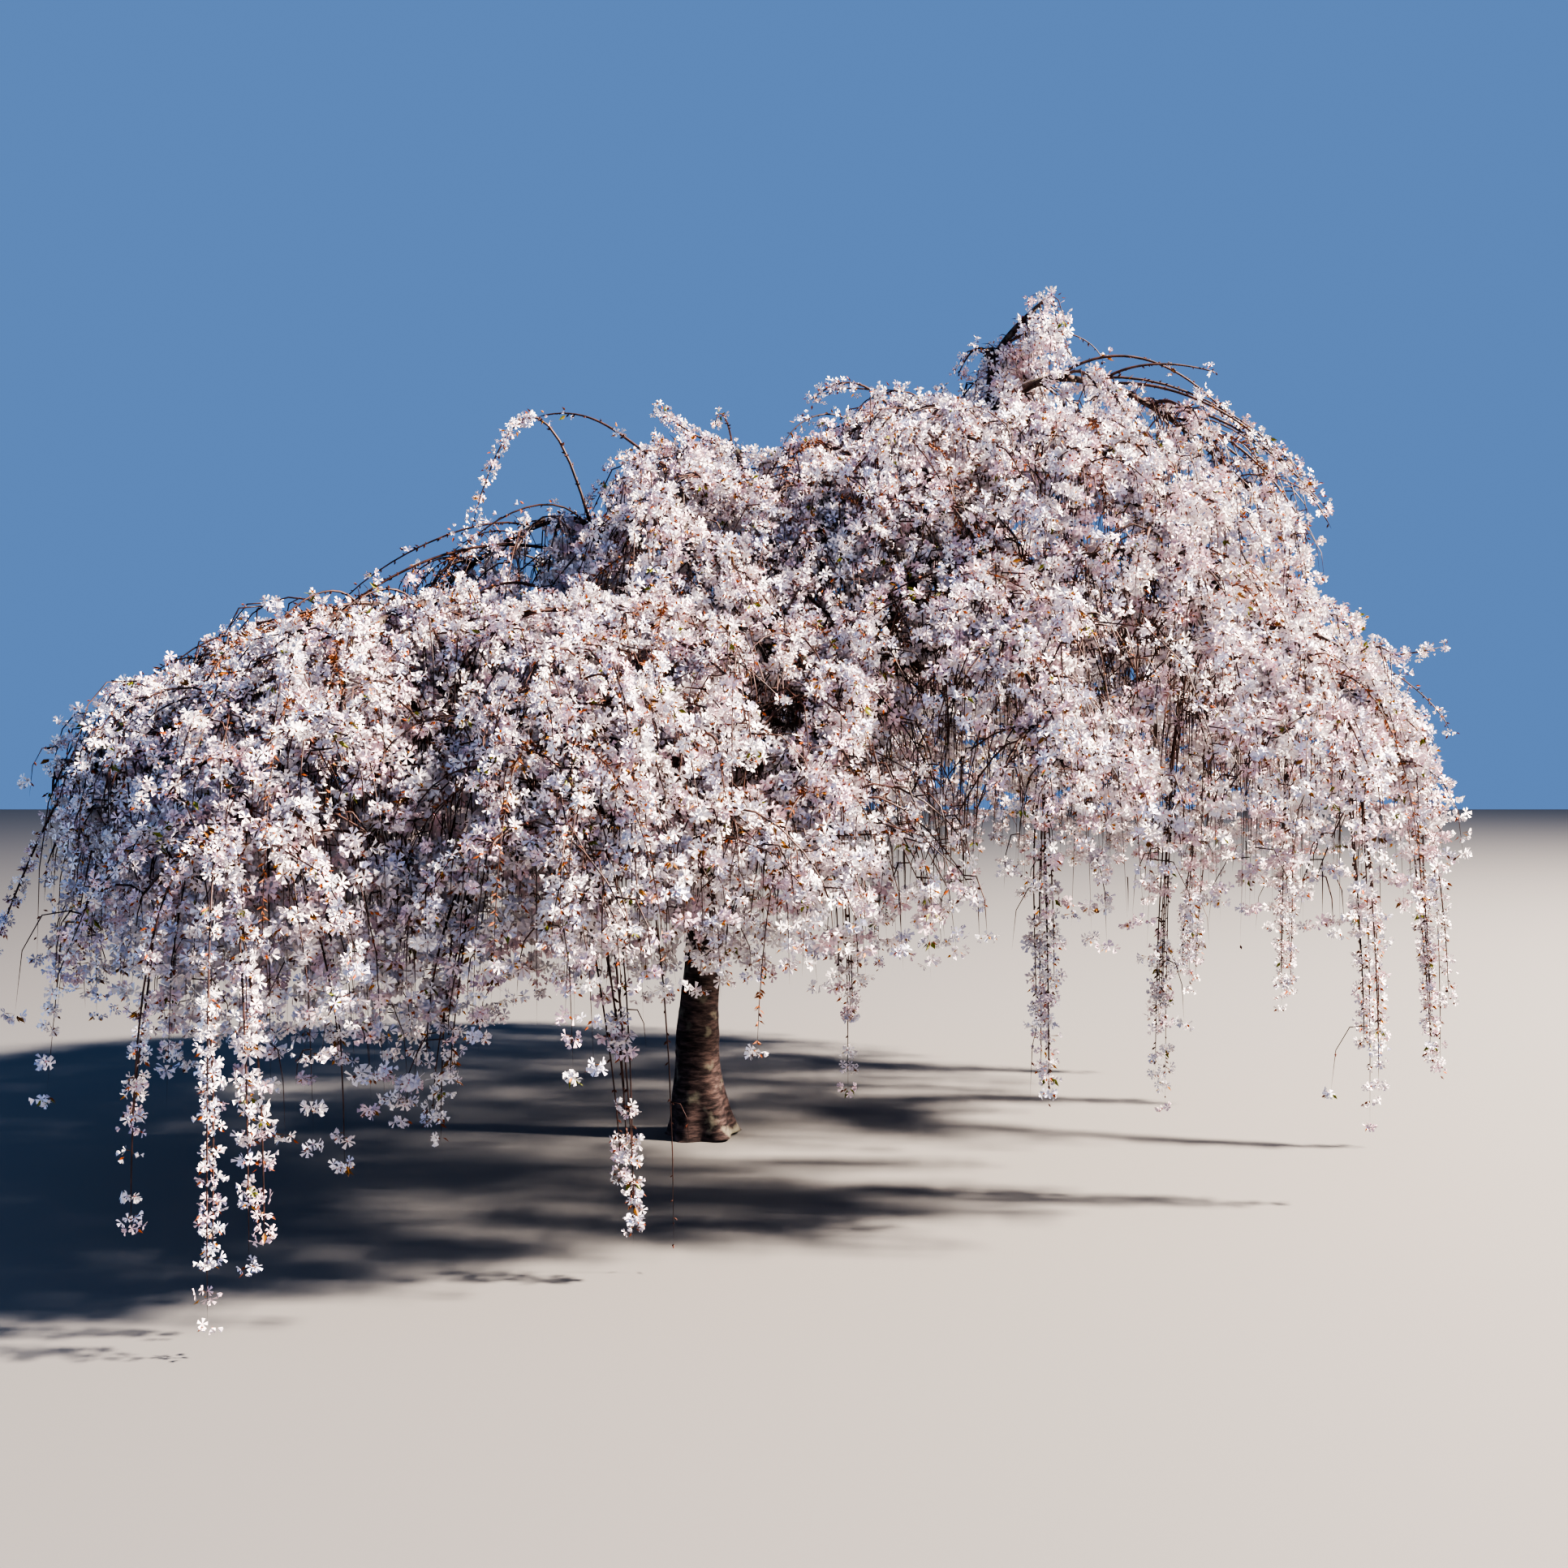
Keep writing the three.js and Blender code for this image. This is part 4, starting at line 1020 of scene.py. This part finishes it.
# Thin places, where shaded twigs or the air behind show: beside and over the front lobe, along the slope on
# the left, at the upper right and at the neck under the tip. Each has its middle, its size each way from
# there, and the share of its buds that open.
THIN_PLACES = [
    ((900, -800, 1250), (540, 820, 380), 0.2),
    ((850, -1700, 1480), (310, 450, 300), 0.2),
    ((325, -1300, 1765), (120, 900, 105), 0.08),
    ((900, -1100, 1850), (80, 800, 65), 0.08),
    ((-850, -700, 2440), (330, 700, 130), 0.3),
    ((-1200, -700, 2270), (330, 700, 130), 0.3),
    ((-1560, -700, 2090), (330, 700, 120), 0.35),
    ((1950, 0, 3120), (300, 700, 160), 0.15),
    ((2350, 0, 2850), (350, 700, 250), 0.15),
    ((2560, 0, 2560), (200, 700, 200), 0.2),
    ((1430, 95, 3470), (90, 250, 45), 0.08),
    ((-1950, -800, 1930), (360, 800, 95), 0.4),
]
# The two lowest twigs at the front, by their tips: the heights between which each is in flower. Twigs whose
# tips are within reach of such a tip, in plan, flower alike.
BLOOM_BANDS = {(-120, -1920, 90): [(690, 820), (520, 560), (150, 440)], (0, -1880, 60): [(1000, 1300)]}
BAND_REACH = 60
# Blossom is full in the outer part of the crown, this deep, and thins out over as much again and more, down
# to the share that opens in the shade.
SHELL_DEPTH = 160
SHELL_FADE = 180
SHADED_BLOOM = 0.11
# Places full of blossom through their depth, so that their shaded twigs flower as well: the low skirt at the
# left, down to its hem, and a column at the upper left. Each has its middle, its size each way from there,
# and the share of its shaded buds that open.
DEEP_PLACES = [
    ((-950, -900, 1060), (1150, 1400, 450), 0.8),
    ((-440, -600, 2360), (170, 600, 230), 1.0),
]
# Depth in the crown is told from columns of this width, and from this many bearings round its middle. Height
# over the underside counts by this weight.
COLUMN_SIZE = 160
BEARINGS = 72
UNDERSIDE_WEIGHT = 1.6


def clusters(corners, kind, rng):
    """The buds along twigs: evenly spaced with some slack. All of them open on the share of twigs that
    flower, and only the one at the tip on the others. On a tufted twig only those that fall in the first
    part of each spacing open, and none on the inner part of a wand. Gives each bud's place, the heading
    there, whether it opens, and its twig."""
    counts, owner = spaced(corners, CLUSTER_SPACING[kind])
    order = np.arange(len(owner)) - np.repeat(np.cumsum(counts) - counts, counts)
    share = np.clip((order + rng.uniform(*BUD_PLACES, len(owner))) / counts[owner], 0, 1)
    opens = (rng.uniform(size=len(corners)) < FLOWERING[kind])[owner]
    if kind in TUFTED:
        phase = rng.uniform(size=len(corners))[owner]
        along = share * lengths(corners)[owner] / (TUFT_SPACING * MM)
        swing, speed, turn = TUFT_WAVE
        opens &= (along + phase + swing * np.sin(speed * along + turn * phase)) % 1 < TUFTED[kind]
    if kind == "wand":
        opens &= share > WAND_BARE_SHARE
    opens |= order == counts[owner] - 1
    place, heading = on_curves(corners[owner], share)
    return place, heading, opens, owner


def inwardness(places):
    """How far inside the crown each place is: the smallest of how far it lies under the highest place of its
    column, over the lowest one, made more by a weight, and in from the furthest one at its own height and
    bearing."""
    cell = np.floor(places / (COLUMN_SIZE * MM)).astype(int)
    aside = places[:, :2] - np.array(CROWN_MIDDLE) * MM
    reach = np.linalg.norm(aside, axis=1)
    bearing = np.floor((np.arctan2(aside[:, 1], aside[:, 0]) / (2 * np.pi) + 0.5) * BEARINGS).astype(int)

    def furthest(keys, values):
        """For each place the highest value among those with the same key."""
        _, group = np.unique(keys, axis=0, return_inverse=True)
        group = group.ravel()
        most = np.full(group.max() + 1, -np.inf)
        np.maximum.at(most, group, values)
        return most[group]

    under = furthest(cell[:, :2], places[:, 2]) - places[:, 2]
    over = places[:, 2] + furthest(cell[:, :2], -places[:, 2])
    within = furthest(np.stack([bearing, cell[:, 2]], axis=-1), reach) - reach
    return np.minimum(np.minimum(under, over * UNDERSIDE_WEIGHT), within)


def near(places, middle, size):
    """Whether each place is in an egg round a middle: its distance, in sizes each way, is under 1."""
    return np.linalg.norm((places / MM - middle) / size, axis=1) < 1


def flowers(places, headings, sparse, rng):
    """Flowers round each bud: every one stands off on its stalk, square to the twig or a little on from it,
    bent down by its weight, and faces the way its stalk points. A sparse bud has a few only."""
    most = np.where(sparse, FLOWERS_ON_ARCHES[1], FLOWERS_A_CLUSTER[1])
    fewest = np.where(sparse, FLOWERS_ON_ARCHES[0], FLOWERS_A_CLUSTER[0])
    counts = rng.integers(fewest, most + 1)
    owner = np.repeat(np.arange(len(places)), counts)
    along = headings[owner]
    out = unit(np.cross(along, rng.normal(size=along.shape)))
    stalk = unit(out + along * rng.uniform(*STALK_ALONG, (len(owner), 1)) - UP * STALK_DROOP)
    centre = places[owner] + stalk * rng.uniform(*STALK_LENGTH, (len(owner), 1)) * MM
    face = unit(stalk + FACE_SCATTER * rng.normal(size=stalk.shape))
    return owner, centre, face, rng.uniform(*FLOWER_RADIUS, len(owner)) * MM


def copies(points, faces):
    """Many small meshes alike: each row of points is one of them, and faces are those of one."""
    first = (np.arange(len(points)) * points.shape[1])[:, None]
    return {"points": points.reshape(-1, 3), "faces": [first + face for face in faces]}


def petal_ways(face, rng):
    """For each petal of flowers that face a way: its own direction outward, and the one across it, turned
    round the face by even steps with a little chance."""
    aside = unit(np.cross(face, rng.normal(size=face.shape)))
    third = np.cross(face, aside)
    turn = np.arange(PETALS) * 2 * np.pi / PETALS + rng.normal(0, PETAL_TURN_SCATTER, (len(face), PETALS))
    cos, sin = np.cos(turn)[..., None], np.sin(turn)[..., None]
    return aside[:, None] * cos + third[:, None] * sin, third[:, None] * cos - aside[:, None] * sin


def open_petals(centre, face, radius, rng):
    """Open flowers: each petal is a kite of two triangles, narrow at its foot, widest two thirds of the way
    out, folded a little along its middle, and lifted by how far the flower is cupped."""
    many = len(centre)
    long_way, wide_way = petal_ways(face, rng)
    cup = rng.uniform(*PETAL_CUP, (many, 1)) + rng.normal(0, PETAL_CUP_SCATTER, (many, PETALS))
    lift = cup[..., None] * face[:, None]
    size = radius[:, None, None] * rng.uniform(*WIDE_PETAL_LENGTH, (many, PETALS, 1))
    width = size * rng.uniform(*WIDE_PETAL_HALF_WIDTH, (many, PETALS, 1))
    foot = centre[:, None] + 0 * long_way
    tip = centre[:, None] + size * (PETAL_TIP * long_way + lift)
    rise = PETAL_BELLY_LIFT * lift
    belly = centre[:, None] + size * (PETAL_BELLY * long_way + rise + PETAL_FOLD * face[:, None])
    points = np.stack([foot, belly + width * wide_way, tip, belly - width * wide_way], axis=2)
    return copies(points.reshape(-1, 4, 3), KITE)


def flat_petals(centre, face, radius, rng):
    """Open flowers of fewer faces: each petal is one triangle from the foot to a broad lip, lifted by how far
    the flower is cupped."""
    many = len(centre)
    long_way, wide_way = petal_ways(face, rng)
    cup = rng.uniform(*PETAL_CUP, (many, 1, 1)) + rng.normal(0, PETAL_CUP_SCATTER, (many, PETALS, 1))
    size = radius[:, None, None] * rng.uniform(*FLAT_PETAL_LENGTH, (many, PETALS, 1))
    lip = centre[:, None] + size * (long_way + cup * face[:, None])
    return lipped(centre, lip, face, size, wide_way, rng)


def half_open_petals(centre, face, radius, rng):
    """Half-open flowers: each petal is one triangle from the foot to a broad lip, all leaning in to a cup."""
    many = len(centre)
    long_way, wide_way = petal_ways(face, rng)
    size = radius[:, None, None] * rng.uniform(*HALF_PETAL_LENGTH, (many, PETALS, 1))
    lean = rng.uniform(*HALF_PETAL_LEAN, (many, 1, 1))
    lip = centre[:, None] + size * (lean * long_way + HALF_PETAL_RISE * face[:, None])
    return lipped(centre, lip, face, size, wide_way, rng)


def lipped(centre, lip, face, size, wide_way, rng):
    """Petals of one triangle: from the flower's centre to the two ends of the lip, one a little higher."""
    half = LIP_SHARE * size * wide_way
    skew = rng.uniform(-LIP_SKEW, LIP_SKEW, size.shape) * size * face[:, None]
    points = np.stack([centre[:, None] + 0 * lip, lip + half + skew, lip - half], axis=2)
    return copies(points.reshape(-1, 3, 3), TRIANGLE)


def petal_material(name, colour):
    """A cherry petal: grown, a tenth of a millimetre thick, matt with the faint sheen of its cells."""
    material, shader = new_material(f"cherry_petal_{name}", roughness=0.6, ior=1.4)
    shader.inputs["Base Color"].default_value = linear(colour)
    shader.inputs["Sheen Weight"].default_value = 0.15
    return material


def add_small_parts(name, made, material):
    """A piece of many small parts with flat faces, which stands for every mass of blossom."""
    add_piece(name, made, material, BLOSSOM_NODES, smooth=False)


bloom_rng = np.random.default_rng(BLOOM_SEED)
found = {kind: clusters(rows, kind, bloom_rng) for kind, rows in grown.items()}
long_places, _, long_opens, long_owner = found["long"]
for tip, bands in BLOOM_BANDS.items():
    apart = np.linalg.norm((grown["long"][long_owner, -1] - np.array(tip) * MM)[:, :2], axis=1)
    mine = apart < BAND_REACH * MM
    height = long_places[:, 2] / MM
    inside = np.any([(height > low) & (height < high) for low, high in bands], axis=0)
    long_opens[mine] = inside[mine]
buds, bud_headings, bud_opens = (np.concatenate([one[k] for one in found.values()]) for k in range(3))
depth = inwardness(buds) / MM
least_bloom = np.full(len(buds), SHADED_BLOOM)
for middle, size, share in DEEP_PLACES:
    least_bloom[near(buds, middle, size)] = share
lit_share = np.clip(1 - (depth - SHELL_DEPTH) / SHELL_FADE, least_bloom, 1)
bud_opens &= bloom_rng.uniform(size=len(buds)) < lit_share
bud_opens &= buds[:, 2] > LOWEST_TIP * MM
upright = (1, 1, GAP_TALLNESS)
clumps = 0
for size, weight in GAP_SIZES.items():
    clumps = clumps + weight * lumps(buds / (size * MM) / upright, GAP_SEED + size)
gap_level = np.full(len(buds), GAP_LEVEL)
for middle, size, level in FULL_PLACES:
    full = near(buds, middle, size)
    gap_level[full] = np.minimum(gap_level[full], level)
buds_each = [len(one[0]) for one in found.values()]
on_rope, on_arch, on_wand = (
    np.repeat([kind in kinds for kind in found], buds_each) for kinds in (ROPES, BARE_ARCHES, ("wand",))
)
bud_opens &= on_rope | (clumps > gap_level)
for middle, size, share in THIN_PLACES:
    kept = bloom_rng.uniform(size=len(buds)) < share
    bud_opens &= ~near(buds, middle, size) | on_arch | on_wand | kept
flower_buds, flower_headings = buds[bud_opens], bud_headings[bud_opens]
bud_shade = bloom_rng.choice(len(PETAL_SHADES), len(flower_buds), p=PETAL_SHARES)
flower_bud, flower_centre, flower_face, flower_radius = flowers(
    flower_buds, flower_headings, on_arch[bud_opens], bloom_rng
)
shade_share = np.interp(depth[bud_opens], SHADE_DEPTHS, (0, 1))[flower_bud]
flower_radius = flower_radius * mix(1, SHADE_GROWTH, shade_share)
flower_radius = flower_radius * np.where(on_rope[bud_opens][flower_bud], ROPE_FLOWER_SHARE, 1)
openness = bloom_rng.choice(len(OPENNESS), len(flower_bud), p=list(OPENNESS.values()))
half_open = openness == list(OPENNESS).index("half")
# In the order of OPENNESS: the name of each form of flower, what makes its petals, and its faces.
flower_forms = [
    ("wide", open_petals, PETALS * 2), ("flat", flat_petals, PETALS), ("half_open", half_open_petals, PETALS),
]
for shade, (name, colour) in enumerate(PETAL_SHADES.items()):
    material = petal_material(name, colour)
    for form, (kind, shape, faces_each) in enumerate(flower_forms):
        mine = np.flatnonzero((bud_shade[flower_bud] == shade) & (openness == form))
        pieces = int(np.ceil(len(mine) * faces_each / MOST_FACES))
        for number, some in enumerate(np.array_split(mine, pieces)):
            made = shape(flower_centre[some], flower_face[some], flower_radius[some], bloom_rng)
            add_small_parts(f"{kind}_petals_{name}_{number + 1}", made, material)

# What shows between the petals: the thin stalk that widens into each flower's cup, the pink eye of an open
# flower, the brown scales that the buds burst from, closed buds on bare shoots, and the first folded leaves.
# All are small parts of living tissue, joined to the twig at each bud.
TISSUES = {
    "flower_stalk": ("#7d5a35", 0.6),
    "flower_eye": ("#b2616b", 0.5),
    "flowering_spur": ("#4a2c20", 0.6),
    "closed_bud": ("#5f3424", 0.55),
    "whip_scale": ("#8a5633", 0.7),
}
# Stalks and eyes show on a share of the flowers. A stalk ends behind the petals, and an eye lies before them.
STALK_WIDTH = 4.5
STALK_SHARE = 0.25
CUP_DEPTH = 1.5
EYE_RADIUS = 3.4
EYE_SHARE = 0.3
EYE_LIFT = 2
# How far each kind of part points aside from its twig, as a share of how far it points along it.
SIDEWAYS = {"scale": 1.3, "spur": 1.2, "bud": 1.0, "whip_scale": 1.6, "leaf": 0.9}
SCALES_A_BUD = 2
SCALE_LENGTH = (13, 26)
SCALE_FOOT = (6, 28)
SCALE_WIDTH = 8.5
BUD_LENGTH = (12, 22)
SPUR_SPACINGS = {"shoot": 26, "wand": 30, "long": 45, "boughlet": 45, "arch": 30}
SPUR_PLACES = (0.03, 1)
SHUT_SHARE = 0.22
WHIP_SCALE_SPACING = 11
WHIP_SCALE_PLACES = (0.05, 1)
WHIP_SCALE_LENGTH = (14, 30)
BUD_SLIMNESS = 0.2
BUD_RING = [(1, 2), (2, 3), (3, 4), (4, 1)]
BUD_FACES = [(0, b, a) for a, b in BUD_RING] + [(5, a, b) for a, b in BUD_RING]
DIAMOND_BELLY = 0.4
DIAMOND_FOLD = 0.25
LEAF_SHARE = 0.11
LEAVES_A_TUFT = 3
LEAF_LENGTH = (22, 38)
LEAF_WIDTH_SHARE = 0.42
LEAF_STALK = 12
SCALE_COLOURS = {"rust": "#a1521d", "brown": "#6b3a1a", "gold": "#b3792b"}
SCALE_SHARES = (0.4, 0.35, 0.25)
SCALE_ROUGHNESS = 0.7
LEAF_COLOURS = {"bronze": "#7b5420", "olive": "#6f7426"}
LEAF_ROUGHNESS = 0.5
# The seed of these parts' chance.
DETAIL_SEED = 31


def slivers(foot, tip, width, rng):
    """One long triangle each: its point at the foot, its short side across the tip."""
    across = unit(np.cross(tip - foot, rng.normal(size=foot.shape))) * width / 2
    return copies(np.stack([foot, tip + across, tip - across], axis=1), TRIANGLE)


def small_triangles(centre, face, radius, rng):
    """One even triangle each, square to its face: three points a third of a turn apart round the centre."""
    aside = unit(np.cross(face, rng.normal(size=face.shape)))
    third = np.cross(face, aside)
    turn = np.arange(3) * 2 * np.pi / 3
    ways = aside[:, None] * np.cos(turn)[:, None] + third[:, None] * np.sin(turn)[:, None]
    return copies(centre[:, None] + radius * ways, TRIANGLE)


def diamonds(foot, way, length, width, rng):
    """Diamonds of two triangles: from the foot along a way, widest less than half of the way out, and folded
    a little along the middle."""
    across = unit(np.cross(way, rng.normal(size=foot.shape)))
    back = np.cross(across, way)
    belly = foot + way * length * DIAMOND_BELLY + back * width * DIAMOND_FOLD
    half = across * width / 2
    return copies(np.stack([foot, belly + half, foot + way * length, belly - half], axis=1), KITE)


def closed_buds(foot, way, length, rng):
    """Closed buds of eight triangles: a four-sided spindle from foot to tip, thickest at its middle."""
    across = unit(np.cross(way, rng.normal(size=foot.shape)))
    third = np.cross(way, across)
    middle = foot + way * length * 0.5
    half = length * BUD_SLIMNESS
    ring = [middle + across * half, middle + third * half, middle - across * half, middle - third * half]
    return copies(np.stack([foot, *ring, foot + way * length], axis=1), BUD_FACES)


def tissue_material(name, colour, roughness):
    """Soft living tissue, matt or a little waxy, in one colour that its place on the tree gives it."""
    material, shader = new_material(name, roughness=roughness, ior=1.4)
    shader.inputs["Base Color"].default_value = linear(colour)
    return material


def sprouts(headings, part, bounds, rng):
    """The way and the length of parts that grow round a twig: outward from it by chance and on along it, and
    a random length between the bounds."""
    out = unit(np.cross(headings, rng.normal(size=headings.shape)))
    way = unit(out * SIDEWAYS[part] + headings)
    return way, rng.uniform(*bounds, (len(way), 1)) * MM


detail_rng = np.random.default_rng(DETAIL_SEED)
stalked = np.flatnonzero(detail_rng.uniform(size=len(flower_bud)) < STALK_SHARE)
backs = flower_centre[stalked] - flower_face[stalked] * CUP_DEPTH * MM
stalks = slivers(flower_buds[flower_bud[stalked]], backs, STALK_WIDTH * MM, detail_rng)
add_small_parts("flower_stalks", stalks, tissue_material("flower_stalk", *TISSUES["flower_stalk"]))
eyed = np.flatnonzero(~half_open & (detail_rng.uniform(size=len(half_open)) < EYE_SHARE))
eye_centre = flower_centre[eyed] + flower_face[eyed] * EYE_LIFT * MM
eyes = small_triangles(eye_centre, flower_face[eyed], EYE_RADIUS * MM, detail_rng)
add_small_parts("flower_eyes", eyes, tissue_material("flower_eye", *TISSUES["flower_eye"]))
scale_bud = np.repeat(np.arange(len(flower_buds)), SCALES_A_BUD)
scale_way, scale_length = sprouts(flower_headings[scale_bud], "scale", SCALE_LENGTH, detail_rng)
scale_foot = flower_buds[scale_bud] + scale_way * detail_rng.uniform(*SCALE_FOOT, (len(scale_bud), 1)) * MM
scale_shade = detail_rng.choice(len(SCALE_COLOURS), len(flower_buds), p=SCALE_SHARES)[scale_bud]
for shade, (name, colour) in enumerate(SCALE_COLOURS.items()):
    some = scale_shade == shade
    made = diamonds(scale_foot[some], scale_way[some], scale_length[some], SCALE_WIDTH * MM, detail_rng)
    skin = tissue_material(f"bud_scale_{name}", colour, SCALE_ROUGHNESS)
    add_small_parts(f"bud_scales_{name}", made, skin)
spur_places, spur_headings = [], []
for kind, spacing in SPUR_SPACINGS.items():
    _, owner = spaced(grown[kind], spacing)
    place, heading = on_curves(grown[kind][owner], detail_rng.uniform(*SPUR_PLACES, len(owner)))
    spur_places.append(place)
    spur_headings.append(heading)
spur_way, spur_length = sprouts(np.concatenate(spur_headings), "spur", BUD_LENGTH, detail_rng)
spur_buds = closed_buds(np.concatenate(spur_places), spur_way, spur_length, detail_rng)
spur_bark = tissue_material("flowering_spur", *TISSUES["flowering_spur"])
add_small_parts("flowering_spurs", spur_buds, spur_bark)
shut = ~bud_opens & (depth < SHELL_DEPTH) & (buds[:, 2] > LOWEST_TIP * MM)
shut &= detail_rng.uniform(size=len(buds)) < SHUT_SHARE
shut_way, shut_length = sprouts(bud_headings[shut], "bud", BUD_LENGTH, detail_rng)
shut_buds = closed_buds(buds[shut], shut_way, shut_length, detail_rng)
add_small_parts("closed_buds", shut_buds, tissue_material("closed_bud", *TISSUES["closed_bud"]))
_, owner = spaced(grown["whip"], WHIP_SCALE_SPACING)
place, heading = on_curves(grown["whip"][owner], detail_rng.uniform(*WHIP_SCALE_PLACES, len(owner)))
way, length = sprouts(heading, "whip_scale", WHIP_SCALE_LENGTH, detail_rng)
made = diamonds(place, way, length, SCALE_WIDTH * MM, detail_rng)
add_small_parts("whip_scales", made, tissue_material("whip_scale", *TISSUES["whip_scale"]))
leafy = np.flatnonzero(detail_rng.uniform(size=len(flower_buds)) < LEAF_SHARE)
leafy_halves = np.array_split(detail_rng.permutation(leafy), len(LEAF_COLOURS))
for (name, colour), some in zip(LEAF_COLOURS.items(), leafy_halves):
    tuft = np.repeat(some, LEAVES_A_TUFT)
    way, length = sprouts(flower_headings[tuft], "leaf", LEAF_LENGTH, detail_rng)
    foot = flower_buds[tuft] + way * LEAF_STALK * MM
    made = diamonds(foot, way, length, length * LEAF_WIDTH_SHARE, detail_rng)
    skin = tissue_material(f"young_leaf_{name}", colour, LEAF_ROUGHNESS)
    add_small_parts(f"young_leaves_{name}", made, skin)

# A plain pale floor under plain studio light: a warm lamp 2 m wide, some 30 m off, high on the right and a
# little to the front, a cool one low on the left, and an even blue light from all round. The camera stands
# where the photographer stood, at eye height.
FLOOR_SIZE = 84
FLOOR_COLOUR = "#6c6c69"
SURROUND_COLOUR = "#86b0ef"
SURROUND_STRENGTH = 0.5
LAMPS = {
    "key_lamp": ((24.0, -2.9, 19.8), 2.0, 62000, "#ffecdd"),
    "fill_lamp": ((-8.0, -6.0, 3.0), 5.0, 260, "#bcd2ff"),
}
TREE_MIDDLE = (0.3, 0, 1.7)
EYE = (0.34, -7.0, 1.6)
EYE_DOWN_DEGREES = 1.0
LENS_MM = 38.3
SENSOR_MM = 36


def stage_floor():
    """A matt painted floor, plain and pale, far wider than the tree."""
    material, shader = new_material("matt_floor_paint", roughness=0.9, ior=1.45)
    shader.inputs["Base Color"].default_value = linear(FLOOR_COLOUR)
    mesh = bpy.data.meshes.new("floor")
    far = FLOOR_SIZE / 2
    mesh.from_pydata([(-far, -far, 0), (far, -far, 0), (far, far, 0), (-far, far, 0)], [], [(0, 1, 2, 3)])
    mesh.materials.append(material)
    floor = bpy.data.objects.new("floor", mesh)
    bpy.context.scene.collection.objects.link(floor)


def soft_lamp(name, place, size, watts, colour):
    """A square soft lamp that faces the middle of the tree."""
    lamp = bpy.data.lights.new(name, "AREA")
    lamp.size = size
    lamp.energy = watts
    lamp.color = linear(colour)[:3]
    holder = bpy.data.objects.new(name, lamp)
    bpy.context.scene.collection.objects.link(holder)
    holder.location = place
    aim = np.array(TREE_MIDDLE) - np.array(place)
    tilt = np.arctan2(np.hypot(*aim[:2]), -aim[2])
    holder.rotation_euler = (tilt, 0, np.arctan2(aim[1], aim[0]) - np.pi / 2)


stage_floor()
for name, values in LAMPS.items():
    soft_lamp(name, *values)
world = bpy.data.worlds.new("studio")
bpy.context.scene.world = world
world.use_nodes = True
surround = world.node_tree.nodes["Background"]
surround.inputs["Color"].default_value = linear(SURROUND_COLOUR)
surround.inputs["Strength"].default_value = SURROUND_STRENGTH
bpy.context.scene.view_settings.look = "AgX - Very High Contrast"
lens = bpy.data.cameras.new("photo_camera")
lens.lens = LENS_MM
lens.sensor_width = SENSOR_MM
camera = bpy.data.objects.new("photo_camera", lens)
bpy.context.scene.collection.objects.link(camera)
camera.location = EYE
camera.rotation_euler = (np.radians(90 - EYE_DOWN_DEGREES), 0, 0)
bpy.context.scene.camera = camera
